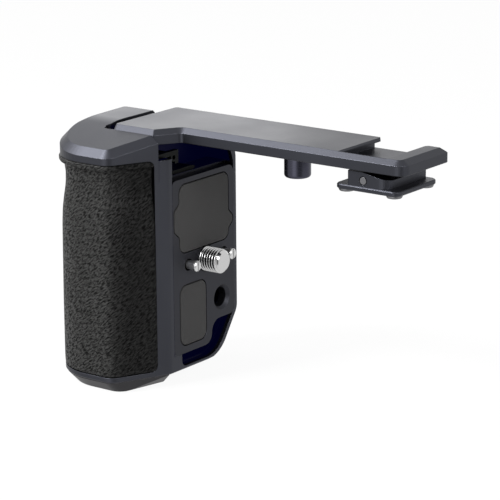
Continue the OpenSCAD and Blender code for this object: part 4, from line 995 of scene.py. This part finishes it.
studio = {
    "floorZ": -30.35,                # mm, just under the part
    "floorSize": 6.0,                # m
    "floorColour": (0.86, 0.86, 0.86),
    "floorRoughness": 0.9,
    "floorWhite": 0.93,              # share of white that the camera and mirrors see
    "worldPlain": 0.42,
    "worldSeen": 1.0,
    "mirrored": 0.78,
    "spots": [                       # in reflections: direction, cosines of the soft edge, change of level
        ((0.78, -0.60, 0.0), (0.85, 0.965), -0.6),
        ((0.12, -0.97, -0.12), (0.93, 0.985), 0.9),
        ((-0.577, 0.774, 0.26), (0.80, 0.99), 0.3),
    ],
    "aim": (0.015, -0.005, 0.005),
    "lamps": [                       # place in m round the object, size in m, watts
        ("topLeft", (-0.15, -0.06, 0.23), 0.16, 0.36),
        ("frontLeft", (-0.38, -0.66, 0.76), 0.3, 16.0),
        ("backLeft", (-0.12, 0.13, 0.085), 0.09, 0.03),
        ("right", (0.62, -0.2, 0.3), 0.3, 2.2),
    ],
}


def seenRays(tree, path):              # rays from the camera, off metal or through glass
    kinds = ("Is Camera Ray", "Is Glossy Ray", "Is Transmission Ray")
    return combine(tree, "MAXIMUM", *(path.outputs[kind] for kind in kinds))


def mixInto(tree, factor, first, second, target):
    mix = addNode(tree, "ShaderNodeMixShader")
    feed(tree, factor, mix.inputs[0])
    feed(tree, first.outputs[0], mix.inputs[1])
    feed(tree, second.outputs[0], mix.inputs[2])
    feed(tree, mix.outputs[0], tree.nodes[target].inputs["Surface"])


def makeFloor(s):
    mesh = bpy.data.meshes.new("floor")
    half = s["floorSize"] / 2
    corners = [(-half, -half, 0), (half, -half, 0), (half, half, 0), (-half, half, 0)]
    mesh.from_pydata(corners, [], [(0, 1, 2, 3)])
    floor = bpy.data.objects.new("floor", mesh)
    floor.location.z = s["floorZ"] * mm
    floor.visible_glossy = False
    scene.collection.objects.link(floor)
    material = bpy.data.materials.new("paleFloor")
    material.use_nodes = True
    tree = material.node_tree
    shader = tree.nodes["Principled BSDF"]
    feed(tree, s["floorColour"], shader.inputs["Base Color"])
    feed(tree, s["floorRoughness"], shader.inputs["Roughness"])
    glow = addNode(tree, "ShaderNodeEmission")
    feed(tree, s["worldSeen"], glow.inputs["Strength"])
    seen = seenRays(tree, addNode(tree, "ShaderNodeLightPath"))
    white = combine(tree, "MULTIPLY", seen, s["floorWhite"])
    mixInto(tree, white, shader, glow, "Material Output")
    mesh.materials.append(material)


def makeWorld(s):
    world = bpy.data.worlds.new("studio")
    scene.world = world
    world.use_nodes = True
    tree = world.node_tree
    plain = tree.nodes["Background"]
    feed(tree, (1, 1, 1), plain.inputs["Color"])
    feed(tree, s["worldPlain"], plain.inputs["Strength"])
    path = addNode(tree, "ShaderNodeLightPath")
    towards = addNode(tree, "ShaderNodeTexCoord").outputs["Generated"]
    level = s["mirrored"]
    for direction, (wide, narrow), change in s["spots"]:
        dot = addNode(tree, "ShaderNodeVectorMath", operation="DOT_PRODUCT")
        feed(tree, towards, dot.inputs[0])
        feed(tree, Vector(direction).normalized(), dot.inputs[1])
        spot = mapRange(tree, dot.outputs["Value"], wide, narrow, 0.0, change, smooth=True)
        level = combine(tree, "ADD", spot, level)
    seen = addNode(tree, "ShaderNodeBackground")
    feed(tree, (1, 1, 1), seen.inputs["Color"])
    toCamera = path.outputs["Is Camera Ray"]
    feed(tree, mapRange(tree, toCamera, 0, 1, level, s["worldSeen"]), seen.inputs["Strength"])
    mixInto(tree, seenRays(tree, path), plain, seen, "World Output")


def makeLamps(s):
    for name, place, size, watts in s["lamps"]:
        data = bpy.data.lights.new(name, "AREA")
        data.shape, data.size, data.energy = "SQUARE", size, watts
        lamp = bpy.data.objects.new(name, data)
        lamp.location = place
        lamp.rotation_mode = "QUATERNION"
        lamp.rotation_quaternion = (Vector(s["aim"]) - Vector(place)).to_track_quat("-Z", "Y")
        lamp.visible_camera = False
        scene.collection.objects.link(lamp)


makeFloor(studio)
makeWorld(studio)
makeLamps(studio)
print("stage: floor, world and lamps")
